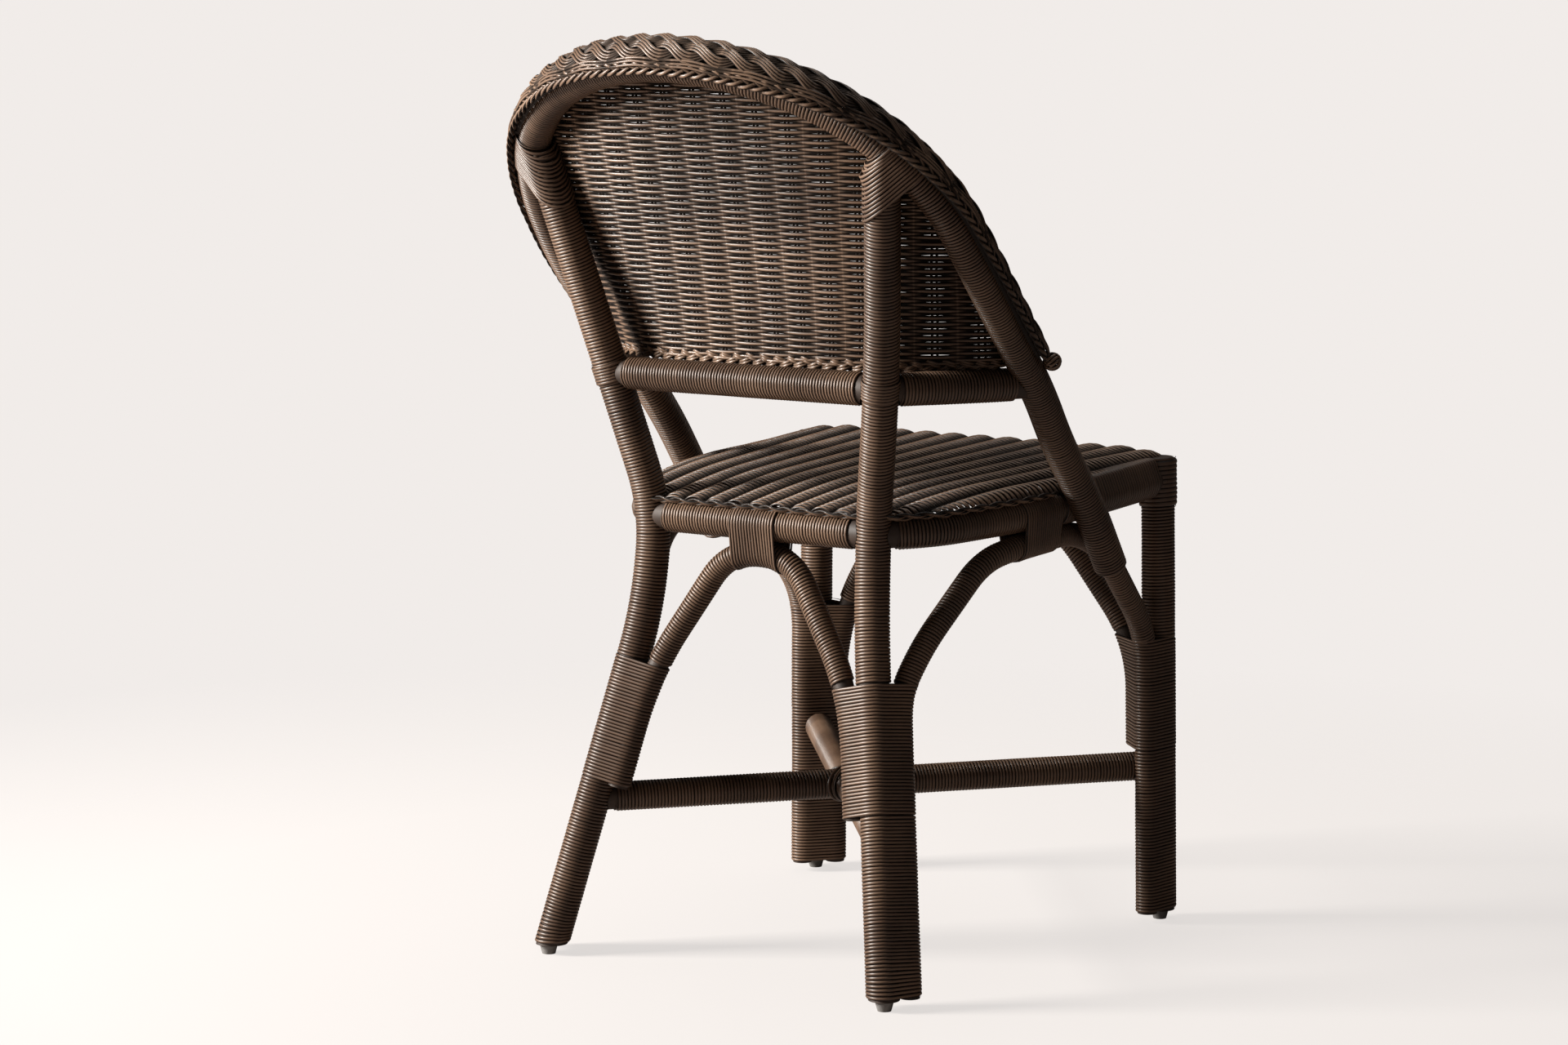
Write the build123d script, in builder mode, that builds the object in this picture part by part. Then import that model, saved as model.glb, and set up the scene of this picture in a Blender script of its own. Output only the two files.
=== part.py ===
from build123d import *
import os
from math import acos, atan2, cos, degrees, radians, sin, tan

os.makedirs("parts", exist_ok=True)

# Frame: +Z up, the sitter looks along -Y, the mirror plane is X = 0 and the floor is Z = 0.
# Depths are given from the line of the rear feet, positive to the front; middle_depth centres the chair on Y.
middle_depth = 193.5

# Poles, bare, and the cane wound on them
main_bare = 14.6
rail_bare = 13.6
hoop_bare = 14.1
brace_bare = 9.6
stretcher_bare = 12.3
cane = 1.9
snug = 0.15
clear = 0.3
bend_share = 0.45
overrun = 20.0

# Rear legs: foot, bend over the collar, waist at the seat, bend under the back and head under the hoop
rear_foot_side = 193.4
rear_bend_height = 330.0
rear_bend_side = 129.1
rear_bend_front = 72.8
waist_height = 425.0
waist_side = 124.3
waist_front = 82.0
upper_bend_height = 575.0
upper_bend_side = 156.6
upper_bend_front = 47.3
head_height = 766.0
head_side = 191.9
head_front = -5.9

# Front legs
front_foot_side = 208.2
front_foot_front = 469.3
front_head_side = 203.0
front_head_front = 463.0
front_head_height = 462.0

# Hoop of the back, as shares from its low ends to its crown
hoop_half_width = 236.7
hoop_low_height = 371.0
hoop_rise = 481.3
hoop_low_front = 328.0
hoop_depth = 411.0
hoop_side_shares = (0, 0.306, 0.590, 0.827, 0.972, 1, 0.996, 0.984, 0.958, 0.974, 0.976)
hoop_rise_shares = (1, 0.983, 0.937, 0.857, 0.742, 0.611, 0.490, 0.378, 0.256, 0.132, 0)
hoop_depth_shares = (1, 0.976, 0.915, 0.828, 0.718, 0.602, 0.471, 0.338, 0.220, 0.102, 0)
hoop_lean = 40.5

# Crossrail of the back: a straight middle and two wings that run forward to the hoop
crossrail_height = 557.5
crossrail_side = 152.9
crossrail_front = 51.4
wing_side_shares = (1, 1.12, 1.35, 1.50)
wing_front_shares = (1, 1.54, 2.66, 3.58)

# Seat rails, which rise to the front
back_rail_height = 421.0
back_rail_side = 126.8
back_rail_front = 78.8
seat_rise = 19.0
side_rail_side_shares = (0.818, 0.901, 0.96, 0.995, 1.007)
side_rail_front_shares = (0.107, 0.258, 0.368, 0.511, 0.706)

# Seat weave, laid over the rails
seat_weave_thick = 6.0
seat_side_lap = 9.0
seat_front_lap = 12.0
seat_back_lap = 5.0
seat_corner_round = 24.0

# Braces: one bent pole under each seat rail, with its ends held along the legs
collar_height = 287.0
collar_bottom = 166.0
front_collar_bottom = 172.0
foot_level = 9.5
collar_split = 1.0
collar_height_shares = (0.82, 0.9, 0.96, 1)
pole_gap_share = 0.5
crossing_steps = 600
full_turn = 360
rear_brace_knee = 275.0
rear_brace_flat = 36.0
front_brace_flat = 76.0
front_brace_set = 6.0
side_brace_side_shares = (0.803, 0.911, 0.975, 0.995, 1.003, 1.005)
side_brace_front_shares = (0.230, 0.3665, 0.473, 0.65, 0.763, 0.912)
side_brace_height_shares = (0.723, 0.886, 0.911, 0.920, 0.873, 0.695)
side_brace_outward_share = 0.75

# Crossed stretchers
stretcher_height = 149.5
stretcher_front_rise = 5.5

# Bindings of cane over the joints
binding = 2.2
rear_binding_half = 27.0
front_binding_half = 30.0
side_binding_start_share = 0.345
side_binding_end_share = 0.485
lashing_cane = 1.6
lashing_low = 547.0
lashing_high = 568.0
crossing_lashing_radius = 21.0
corner_binding = 3.6
corner_binding_drop = 27.0
rim_radius = 3.2
rim_set = 6.0
rim_start_share = 0.497
rim_end_share = 0.945
rim_steps = 6
binding_steps = 4
head_binding_low = 704.0

# Woven back, its twined foot and its rolled, braided border
panel_thick = 4.2
panel_foot_height = 578.0
panel_foot_front = 61.0
panel_crown_front = -57.0
panel_lean_power = 1.12
panel_bow_power = 4.1
panel_before_hoop = 20.0
panel_inside_hoop = 17.6
panel_top_height = 848.0
panel_rows = 10
panel_columns = 16
border_roll_radius = 5.4
border_bed = 22.2
border_roll_steps = (31, 62, 93)
border_foot_share = 0.53
braid_radius = 4.8
braid_bed = 21.6
braid_turns = (34, 38, 52, 72, 92, 102, 106, 108)
knot_radius = 9.0
knot_bed = 25.6
knot_share = 0.69
knot_turn_step = 15
twine_radius = 3.6
twine_side_shares = (0, 0.42, 0.66, 0.79, 0.88, 0.93)

# Glides and fasteners
glide_foot = 6.4
glide_top = 9.0
nail_radius = 1.3
nail_length = 26.0
nail_head_height = 2.5
screw_radius = 2.0
joint_screw_length = 52.0
brace_screw_length = 38.0


def at(side, front, height):
    """A point of the chair: across, in front of the line of the rear feet, and above the floor."""
    return Vector(side, middle_depth - front, height)


def along(start, end, share):
    """A point on the line through two points."""
    return start + (end - start) * share


def mirrored(points):
    """The same points on the other side of the chair."""
    return [Vector(-point.X, point.Y, point.Z) for point in points]


def bend_radii(points):
    """One radius for each inner corner, as large as its two runs allow."""
    radii = []
    for before, corner, after in zip(points, points[1:], points[2:]):
        turn = (corner - before).get_angle(after - corner)
        run = min((corner - before).length, (after - corner).length)
        radii.append(bend_share * run / tan(radians(turn / 2)))
    return radii


def tube(points, radius, bore=0):
    """A round pole, or a sleeve with a bore, along straight runs and tangent arcs."""
    with BuildPart() as pole:
        with BuildLine() as route:
            if len(points) > 2:
                FilletPolyline(*points, radius=bend_radii(points))
            else:
                Line(*points)
        with BuildSketch(Plane(origin=points[0], z_dir=points[1] - points[0])):
            Circle(radius)
            if bore:
                Circle(bore, mode=Mode.SUBTRACT)
        sweep(path=route.wires()[0])
    return pole.part


def less(solid, cutters):
    """The main solid that is left beside the neighbours that it meets."""
    with BuildPart() as cut:
        add(solid)
        for cutter in cutters:
            add(cutter, mode=Mode.SUBTRACT)
    return cut.part.solids().sort_by(SortBy.VOLUME)[-1]


def above(solid, plane):
    """The part of a solid on the upper side of a plane."""
    with BuildPart() as upper:
        add(solid)
        split(bisect_by=plane, keep=Keep.TOP)
    return upper.part.solids().sort_by(SortBy.VOLUME)[-1]


def save(piece, label):
    """Names a finished piece, or a group of like pieces, and writes it."""
    if isinstance(piece, list):
        piece = Compound(children=piece)
    piece.label = label
    export_step(piece, f"parts/{label}.step")


both_sides = (("right", -1), ("left", 1))
main_wound = main_bare + cane
rail_wound = rail_bare + cane
hoop_wound = hoop_bare + cane
brace_wound = brace_bare + cane
stretcher_wound = stretcher_bare + cane
brace_beside = main_bare + brace_bare + clear
floor_cut = Plane.XY.offset(foot_level)


# Legs

def rear_leg_route(side):
    """Centre line of a rear leg, from just under the floor to its head under the hoop."""
    foot = at(side * rear_foot_side, 0, 0)
    bend = at(side * rear_bend_side, rear_bend_front, rear_bend_height)
    waist = at(side * waist_side, waist_front, waist_height)
    upper = at(side * upper_bend_side, upper_bend_front, upper_bend_height)
    head = at(side * head_side, head_front, head_height)
    return [foot - (bend - foot).normalized() * overrun, bend, waist, upper, head]


def front_leg_route(side):
    """Centre line of a front leg."""
    foot = at(side * front_foot_side, front_foot_front, 0)
    head = at(side * front_head_side, front_head_front, front_head_height)
    return [foot - (head - foot).normalized() * overrun, head]


def leg_point(route, height):
    """The point of a leg's straight lower run at a height."""
    low, high = route[0], route[1]
    return along(low, high, (height - low.Z) / (high.Z - low.Z))


def leg_plane(route, height):
    """The plane square to a leg's lower run, at a height."""
    return Plane(origin=leg_point(route, height), z_dir=route[1] - route[0])


def beside(route, direction):
    """The step from a leg's centre to a brace that lies against it on one side."""
    axis = (route[1] - route[0]).normalized()
    square = direction - axis * direction.dot(axis)
    return square.normalized() * brace_beside


rear_routes = {side: rear_leg_route(side) for _, side in both_sides}
front_routes = {side: front_leg_route(side) for _, side in both_sides}
rear_clear = [tube(rear_routes[side], main_wound + clear) for _, side in both_sides]
front_clear = [tube(front_routes[side], main_wound + clear) for _, side in both_sides]
lashed_clear = [tube(rear_routes[side], main_wound + lashing_cane + clear) for _, side in both_sides]

rear_inward = {side: beside(rear_routes[side], Vector(-side, 0, 0)) for _, side in both_sides}
outward = Vector(side_brace_outward_share, 0, 0)
rear_outward = {
    side: beside(rear_routes[side], outward * side - Vector(0, 1, 0)) for _, side in both_sides
}
front_inward = {side: beside(front_routes[side], Vector(-side, 0, 0)) for _, side in both_sides}
front_backward = {side: beside(front_routes[side], Vector(0, 1, 0)) for _, side in both_sides}


# Hoop

def hoop_half(side):
    """Corner points of one half of the hoop, from the crown down to its low end."""
    points = []
    for side_share, rise_share, depth_share in zip(hoop_side_shares, hoop_rise_shares, hoop_depth_shares):
        across = side * hoop_half_width * side_share
        front = hoop_low_front - hoop_depth * depth_share
        points.append(at(across, front, hoop_low_height + hoop_rise * rise_share))
    return points


hoop_route = hoop_half(-1)[::-1] + hoop_half(1)[1:]
hoop_clear = tube(hoop_route, hoop_wound + clear)


def hoop_frames(points):
    """At each corner point, the outward and the rearward direction square to the hoop."""
    facing = Vector(0, cos(radians(hoop_lean)), -sin(radians(hoop_lean)))
    frames = []
    for index in range(len(points)):
        before = points[max(index - 1, 0)]
        after = points[min(index + 1, len(points) - 1)]
        run = (after - before).normalized()
        rear = (facing - run * facing.dot(run)).normalized()
        frames.append((run.cross(rear), rear))
    return frames


# Places of the poles, the braces and the stretchers

def rail_height_at(front):
    """Height of the side rails' centre line at a depth."""
    share = (front - back_rail_front) / (front_head_front - back_rail_front)
    return back_rail_height + seat_rise * share


def across_route(half_width, front, height):
    """A straight rail from side to side."""
    return [at(-half_width, front, height), at(half_width, front, height)]


def side_rail_route(side):
    """Centre line of a side rail, from the rear leg out and forward to the front leg."""
    points = [at(side * back_rail_side, back_rail_front, back_rail_height)]
    for side_share, front_share in zip(side_rail_side_shares, side_rail_front_shares):
        front = back_rail_front + (front_head_front - back_rail_front) * front_share
        points.append(at(side * front_head_side * side_share, front, rail_height_at(front)))
    points.append(at(side * front_head_side, front_head_front, front_rail_height))
    return points


def rail_point(side, share):
    """A point of the side rail, by its share of the way to the front."""
    depth = middle_depth - back_rail_front - (front_head_front - back_rail_front) * share
    route = side_rail_routes[side]
    pairs = [pair for pair in zip(route, route[1:]) if pair[1].Y <= depth]
    before, after = pairs[0]
    return along(before, after, (before.Y - depth) / (before.Y - after.Y))


def brace_ends(route, step, end_height):
    """The end and the knee of a brace that lies along a leg."""
    return [leg_point(route, end_height) + step, leg_point(route, rear_brace_knee) + step]


def rear_brace_half(side):
    """Half of the rear brace, from its end on the leg to the flat under the rail."""
    flat = at(side * rear_brace_flat, back_rail_front, rear_brace_height)
    return brace_ends(rear_routes[side], rear_inward[side], collar_bottom + collar_split) + [flat]


def front_brace_half(side):
    """Half of the front brace; its left end runs down to the floor."""
    end_height = front_collar_bottom + collar_split if side < 0 else 0
    flat = at(side * front_brace_flat, front_head_front - front_brace_set, front_brace_height)
    return brace_ends(front_routes[side], front_inward[side], end_height) + [flat]


def side_brace_route(side):
    """A side brace, from the rear foot up under the side rail and down to the front foot."""
    middle = []
    shares = zip(side_brace_side_shares, side_brace_front_shares, side_brace_height_shares)
    for side_share, front_share, height_share in shares:
        across = side * front_head_side * side_share
        height = front_rail_height * height_share
        middle.append(at(across, front_foot_front * front_share, height))
    rear = brace_ends(rear_routes[side], rear_outward[side], 0)
    front = brace_ends(front_routes[side], front_backward[side], 0)
    return rear + middle + front[::-1]


def stretcher_route(side):
    """A stretcher, from one rear leg to the front leg on the other side."""
    rear = leg_point(rear_routes[side], stretcher_height)
    front = leg_point(front_routes[-side], stretcher_height + stretcher_front_rise)
    return [rear, front]


def wing_route(side):
    """A wing of the crossrail, from a rear leg forward to the hoop."""
    points = []
    for side_share, front_share in zip(wing_side_shares, wing_front_shares):
        points.append(at(side * crossrail_side * side_share, crossrail_front * front_share, crossrail_height))
    return points


front_rail_height = back_rail_height + seat_rise
rear_brace_height = back_rail_height - rail_wound - brace_wound - clear
front_brace_height = front_rail_height - rail_wound - brace_wound - clear
back_rail_route = across_route(back_rail_side, back_rail_front, back_rail_height)
front_rail_route = across_route(front_head_side, front_head_front, front_rail_height)
crossrail_route = across_route(crossrail_side, crossrail_front, crossrail_height)
side_rail_routes = {side: side_rail_route(side) for _, side in both_sides}
rear_brace_route = rear_brace_half(-1) + rear_brace_half(1)[::-1]
front_brace_route = front_brace_half(-1) + front_brace_half(1)[::-1]
side_brace_routes = {side: side_brace_route(side) for _, side in both_sides}
stretcher_routes = {side: stretcher_route(side) for _, side in both_sides}

back_rail_clear = tube(back_rail_route, rail_wound + clear)
front_rail_clear = tube(front_rail_route, rail_wound + clear)
side_rail_clear = {side: tube(side_rail_routes[side], rail_wound + clear) for _, side in both_sides}
rear_brace_clear = tube(rear_brace_route, brace_wound + clear)
front_brace_clear = tube(front_brace_route, brace_wound + clear)
side_brace_clear = {side: tube(side_brace_routes[side], brace_wound + clear) for _, side in both_sides}
stretcher_clear = {side: tube(stretcher_routes[side], stretcher_wound + clear) for _, side in both_sides}


# Screws: the head lies in one pole and the shank runs on into the next, and every piece has their holes

def screw_shank(start, direction, length, radius):
    """A straight shank from its start inward."""
    return tube([start, start + direction * length], radius)


def mirror_x(point, side):
    """The point, on the side asked for."""
    return Vector(side * abs(point.X), point.Y, point.Z)


hoop_joint = hoop_half(1)[9]
joint_screws = []
brace_screws = []
for _, side in both_sides:
    inward = Vector(-side, 0, 0)
    hoop_head = mirror_x(hoop_joint, side) - inward * hoop_bare
    joint_screws.append((hoop_head, inward, joint_screw_length))
    for rail_end in (back_rail_route[1], front_rail_route[1]):
        rail_head = mirror_x(rail_end, side) - inward * main_bare
        joint_screws.append((rail_head, inward, joint_screw_length))
    for end, other in (stretcher_routes[side], stretcher_routes[side][::-1]):
        run = (other - end).normalized()
        joint_screws.append((end - run * main_bare, run, joint_screw_length))
    side_middle = rail_point(side, (side_binding_start_share + side_binding_end_share) / 2)
    side_head = side_middle - Vector(0, 0, rail_wound + brace_wound + clear + brace_bare)
    brace_screws.append((side_head, Vector(0, 0, 1), brace_screw_length))
rear_head = at(0, back_rail_front, rear_brace_height - brace_bare)
front_head = at(0, front_head_front - front_brace_set, front_brace_height - brace_bare)
brace_screws.append((rear_head, Vector(0, 0, 1), brace_screw_length))
brace_screws.append((front_head, Vector(0, 0, 1), brace_screw_length))
save([screw_shank(*place, screw_radius) for place in joint_screws], "joint_screws")
save([screw_shank(*place, screw_radius) for place in brace_screws], "brace_screws")
joint_holes = [screw_shank(*place, screw_radius + snug) for place in joint_screws]
brace_holes = [screw_shank(*place, screw_radius + snug) for place in brace_screws]


# Clusters: poles that lie side by side, and what is wound round them

def crossing(route, plane):
    """Where a pole's centre line, run on straight at its ends, crosses a plane near its origin."""
    with BuildLine() as line:
        if len(route) > 2:
            FilletPolyline(*route, radius=bend_radii(route))
        else:
            Line(*route)
    wire = line.wires()[0]
    places = [wire.position_at(index / crossing_steps) for index in range(crossing_steps + 1)]
    places = [along(route[1], route[0], 2)] + places + [along(route[-2], route[-1], 2)]
    heights = [plane.to_local_coords(place).Z for place in places]
    found = []
    for before, after, low, high in zip(places, places[1:], heights, heights[1:]):
        if low * high <= 0 and low != high:
            found.append(along(before, after, low / (low - high)))
    return min(found, key=lambda place: (place - plane.origin).length)


def hull_outline(circles):
    """Draws the arcs and tangent lines round circles that lie side by side."""
    first, second, last = circles[0][0], circles[1][0], circles[-1][0]
    if (second - first).cross(last - first).Z < 0:
        circles = circles[:1] + circles[:0:-1]
    bearings = []
    for (start, radius), (end, next_radius) in zip(circles, circles[1:] + circles[:1]):
        step = end - start
        lean = degrees(acos((radius - next_radius) / step.length))
        bearings.append(degrees(atan2(step.Y, step.X)) - lean)
    arcs = []
    for (centre, radius), begin, end in zip(circles, bearings[-1:] + bearings, bearings):
        arcs.append(CenterArc((centre.X, centre.Y), radius, begin, (end - begin) % full_turn))
    for arc, following in zip(arcs, arcs[1:] + arcs[:1]):
        Line(arc @ 1, following @ 0)


def cluster(planes, poles, grow):
    """A solid round several poles, lofted through their hulls in the planes."""
    with BuildPart() as body:
        for plane in planes:
            spots = [(plane.to_local_coords(crossing(route, plane)), radius) for route, radius in poles]
            with BuildSketch(plane):
                with BuildLine():
                    hull_outline([(spot, radius + grow) for spot, radius in spots])
                make_face()
        loft(ruled=True)
    return body.part


def winding_round(planes, poles, cutters, gap, layer):
    """The cane wound round several poles: a ring between two hulls, clear of the poles."""
    pole_cuts = [tube(route, radius + gap * pole_gap_share) for route, radius in poles]
    with BuildPart() as ring:
        add(cluster(planes, poles, gap + layer))
        add(cluster(planes, poles, gap), mode=Mode.SUBTRACT)
    return less(ring.part, pole_cuts + list(cutters))


def wound_pole(label, route, bare, cutters, pole_holes=()):
    """A bare pole, and its winding as a sleeve, each cut by the neighbours that it meets."""
    cuts = list(cutters) + list(pole_holes)
    save(less(tube(route, bare), cuts), label)
    save(less(tube(route, bare + cane, bare + snug), cuts), f"{label}_winding")


collar_steps = [collar_height * share for share in collar_height_shares]
stretcher_cuts = rear_clear + front_clear
grouped = {"rear_collars": [], "rear_foot_windings": [], "front_collars": []}
for position, side in both_sides:
    ends = (
        ("rear", rear_routes[side], rear_brace_route, collar_bottom, False),
        ("front", front_routes[side], front_brace_route, front_collar_bottom, side > 0),
    )
    for end, route, cross_brace, bottom, runs_down in ends:
        leg_pole = (route, main_bare)
        side_pole = (side_brace_routes[side], brace_bare)
        cross_pole = (cross_brace, brace_bare)
        held = [leg_pole, side_pole, cross_pole]
        planes = [leg_plane(route, height) for height in (bottom, *collar_steps)]
        collar = winding_round(planes, held, [], snug, cane)
        grouped[f"{end}_collars"].append(collar)
        stretcher_cuts.append(cluster(planes, held, snug + cane + clear))

        low_held = held if runs_down else [leg_pole, side_pole]
        planes = [leg_plane(route, height) for height in (-overrun, bottom - collar_split)]
        foot_winding = winding_round(planes, low_held, joint_holes, snug, cane)
        foot_winding = above(foot_winding, floor_cut)
        if end == "rear":
            grouped["rear_foot_windings"].append(foot_winding)
        else:
            save(foot_winding, f"front_{position}_foot_winding")
        stretcher_cuts.append(cluster(planes, low_held, snug + cane + clear))
for label, pieces in grouped.items():
    save(pieces, label)


# Poles of the back and the seat

wound_pole("back_hoop", hoop_route, hoop_bare, [], joint_holes)
wound_pole("seat_back_rail", back_rail_route, rail_bare, rear_clear, joint_holes + brace_holes)
wound_pole("seat_front_rail", front_rail_route, rail_bare, front_clear, joint_holes + brace_holes)
wound_pole("crossrail", crossrail_route, rail_bare, lashed_clear)
for index, (position, side) in enumerate(both_sides):
    rail_ends = [rear_clear[index], front_clear[index], hoop_clear, back_rail_clear, front_rail_clear]
    rail_screws = joint_holes + brace_holes
    wound_pole(f"seat_{position}_rail", side_rail_routes[side], rail_bare, rail_ends, rail_screws)
    wing_ends = [lashed_clear[index], hoop_clear]
    wound_pole(f"crossrail_{position}_wing", wing_route(side), rail_bare, wing_ends)


# Legs: each core stands on its glide, and its own winding starts above the collar

def nail_shank(foot, radius):
    """The nail that holds a glide, straight up into the leg."""
    low = Vector(foot.X, foot.Y, nail_head_height)
    return tube([low, low + Vector(0, 0, nail_length)], radius)


feet = [at(side * rear_foot_side, 0, 0) for _, side in both_sides]
feet += [at(side * front_foot_side, front_foot_front, 0) for _, side in both_sides]
nail_holes = [nail_shank(foot, nail_radius + snug) for foot in feet]
leg_holes = joint_holes + nail_holes
for position, side in both_sides:
    for end, route in (("rear", rear_routes[side]), ("front", front_routes[side])):
        core = above(tube(route, main_bare), floor_cut)
        save(less(core, [hoop_clear] + leg_holes), f"{end}_{position}_leg")
        sleeve = less(tube(route, main_wound, main_bare + snug), [hoop_clear] + joint_holes)
        save(above(sleeve, leg_plane(route, collar_height + collar_split)), f"{end}_{position}_leg_winding")


# Braces, wound between their collars

rear_tops = [leg_plane(rear_routes[side], collar_height + collar_split) for _, side in both_sides]
front_tops = [leg_plane(front_routes[side], collar_height + collar_split) for _, side in both_sides]
brace_kinds = [("rear_brace", rear_brace_route, rear_tops), ("front_brace", front_brace_route, front_tops)]
for index, (position, side) in enumerate(both_sides):
    brace_kinds.append((f"{position}_brace", side_brace_routes[side], [rear_tops[index], front_tops[index]]))
for label, route, tops in brace_kinds:
    save(less(above(tube(route, brace_bare), floor_cut), brace_holes), label)
    sleeve = tube(route, brace_wound, brace_bare + snug)
    for top in tops:
        sleeve = above(sleeve, top)
    save(less(sleeve, rear_clear + front_clear + brace_holes), f"{label}_winding")


# Crossed stretchers, half lapped where they meet

def crossing_place():
    """The point where the two stretchers cross."""
    rear, front = stretcher_routes[1]
    return along(rear, front, rear.X / (rear.X - front.X))


middle = crossing_place()
lap_up = Plane(origin=middle, z_dir=(0, 0, 1))
lap_down = Plane(origin=middle, z_dir=(0, 0, -1))
for label, side, lap in (("rear_left_stretcher", 1, lap_up), ("rear_right_stretcher", -1, lap_down)):
    lap_cut = above(stretcher_clear[-side], lap)
    wound_pole(label, stretcher_routes[side], stretcher_bare, stretcher_cuts + [lap_cut], joint_holes)


# Bindings of cane over the joints

def sheath(route, inner, outer, low_plane, high_plane, cutters):
    """A sleeve over a stretch of a pole, between two planes."""
    sleeve = above(tube(route, outer, inner), low_plane)
    if high_plane:
        sleeve = above(sleeve, high_plane)
    return less(sleeve, cutters)


def level(height, up=1):
    """A level plane that faces up or down."""
    return Plane(origin=(0, 0, height), z_dir=(0, 0, up))


def spread(start, end, steps):
    """Evenly spread values, both ends counted."""
    return [start + (end - start) * index / steps for index in range(steps + 1)]


lap_height = stretcher_wound + lashing_cane
with BuildPart() as crossing_lashing:
    with BuildSketch(Plane(origin=middle - Vector(0, 0, lap_height))):
        Circle(crossing_lashing_radius)
    extrude(amount=2 * lap_height)
save(less(crossing_lashing.part, [stretcher_clear[1], stretcher_clear[-1]]), "crossing_lashing")

lashings = []
head_bindings = []
corner_bindings = []
rail_clears = [front_rail_clear, side_rail_clear[1], side_rail_clear[-1]]
for _, side in both_sides:
    route = rear_routes[side]
    lashed = main_wound + lashing_cane
    lashing_ends = [level(lashing_low), level(lashing_high, -1)]
    lashings.append(sheath(route, main_wound + clear, lashed, *lashing_ends, []))
    bound = main_wound + clear + binding
    head_bindings.append(
        sheath(route, main_wound + clear, bound, level(head_binding_low), None, [hoop_clear])
    )
    low = level(front_rail_height - corner_binding_drop)
    corner = main_wound + corner_binding
    corner_bindings.append(sheath(front_routes[side], main_wound + clear, corner, low, None, rail_clears))
save(lashings, "crossrail_lashings")
save(head_bindings, "head_bindings")
save(corner_bindings, "corner_bindings")
corner_clear = [tube(front_routes[side], main_wound + corner_binding + clear) for _, side in both_sides]

rear_poles = [(back_rail_route, rail_wound), (rear_brace_route, brace_wound)]
rear_sides = spread(-rear_binding_half, rear_binding_half, binding_steps)
rear_spots = [at(across, back_rail_front, back_rail_height) for across in rear_sides]
rear_planes = [Plane(origin=spot, z_dir=(1, 0, 0)) for spot in rear_spots]
binding_clear = [cluster(rear_planes, rear_poles, clear + binding + clear)]
save(winding_round(rear_planes, rear_poles, [], clear, binding), "rear_apex_binding")
front_poles = [(front_rail_route, rail_wound), (front_brace_route, brace_wound)]
front_sides = spread(-front_binding_half, front_binding_half, binding_steps)
front_spots = [at(across, front_head_front, front_rail_height) for across in front_sides]
front_planes = [Plane(origin=spot, z_dir=(1, 0, 0)) for spot in front_spots]
binding_clear.append(cluster(front_planes, front_poles, clear + binding + clear))
save(winding_round(front_planes, front_poles, [], clear, binding), "front_apex_binding")
side_bindings = []
side_shares = spread(side_binding_start_share, side_binding_end_share, binding_steps)
for _, side in both_sides:
    side_poles = [(side_rail_routes[side], rail_wound), (side_brace_routes[side], brace_wound)]
    side_spots = [rail_point(side, share) for share in side_shares]
    side_planes = [Plane(origin=spot, z_dir=(0, -1, 0)) for spot in side_spots]
    binding_clear.append(cluster(side_planes, side_poles, clear + binding + clear))
    side_bindings.append(winding_round(side_planes, side_poles, [hoop_clear], clear, binding))
save(side_bindings, "side_apex_bindings")


# Seat weave, on the plane of the rails' tops

seat_depth = front_head_front - back_rail_front
seat_origin = at(0, back_rail_front, back_rail_height)
seat_plane = Plane(origin=seat_origin, x_dir=(1, 0, 0), z_dir=(0, seat_rise, seat_depth))
seat_base = seat_plane.offset(rail_wound + clear)
edge_points = [at(back_rail_side + seat_side_lap, back_rail_front - seat_back_lap, back_rail_height)]
edge_points += [point + Vector(seat_side_lap, 0, 0) for point in side_rail_routes[1][1:-1]]
edge_points.append(at(front_head_side + seat_side_lap, front_head_front + seat_front_lap, front_rail_height))
seat_outline = edge_points + mirrored(edge_points)[::-1]

rim_bindings = []
rim_clear = []
rim_rise = seat_base.offset(seat_weave_thick / 2).origin - seat_plane.origin
rim_shares = spread(rim_start_share, rim_end_share, rim_steps)
for _, side in both_sides:
    rail = side_rail_routes[side]
    rim_low = [point + rim_rise + Vector(side * rim_set, 0, 0) for point in rail]
    rim_high = [point + rim_rise - Vector(side * rim_set, 0, 0) for point in rail]
    rim_poles = [(rail, rail_wound), (rim_low, rim_radius), (rim_high, rim_radius)]
    rim_spots = [rail_point(side, share) for share in rim_shares]
    rim_planes = [Plane(origin=spot, z_dir=(0, -1, 0)) for spot in rim_spots]
    rim_cuts = [hoop_clear, side_brace_clear[side]] + corner_clear + joint_holes
    rim_bindings.append(winding_round(rim_planes, rim_poles, rim_cuts, clear, binding))
    rim_clear.append(cluster(rim_planes, rim_poles, clear + binding + clear))
save(rim_bindings, "seat_rim_bindings")

with BuildPart() as seat_weave:
    with BuildSketch(seat_base) as seat_sketch:
        with BuildLine():
            seat_places = [seat_plane.to_local_coords(point) for point in seat_outline]
            Polyline(*[(place.X, place.Y) for place in seat_places], close=True)
        make_face()
        fillet(seat_sketch.vertices(), radius=seat_corner_round)
    extrude(amount=seat_weave_thick)
save(less(seat_weave.part, rear_clear + corner_clear + rim_clear + binding_clear), "seat_weave")


# Woven back

def hoop_side_at(height):
    """The hoop's half width and its depth at a height, from its corner points."""
    points = hoop_half(1)
    for upper, lower in zip(points, points[1:]):
        if lower.Z <= height <= upper.Z:
            spot = along(lower, upper, (height - lower.Z) / (upper.Z - lower.Z))
            return spot.X, middle_depth - spot.Y


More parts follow.
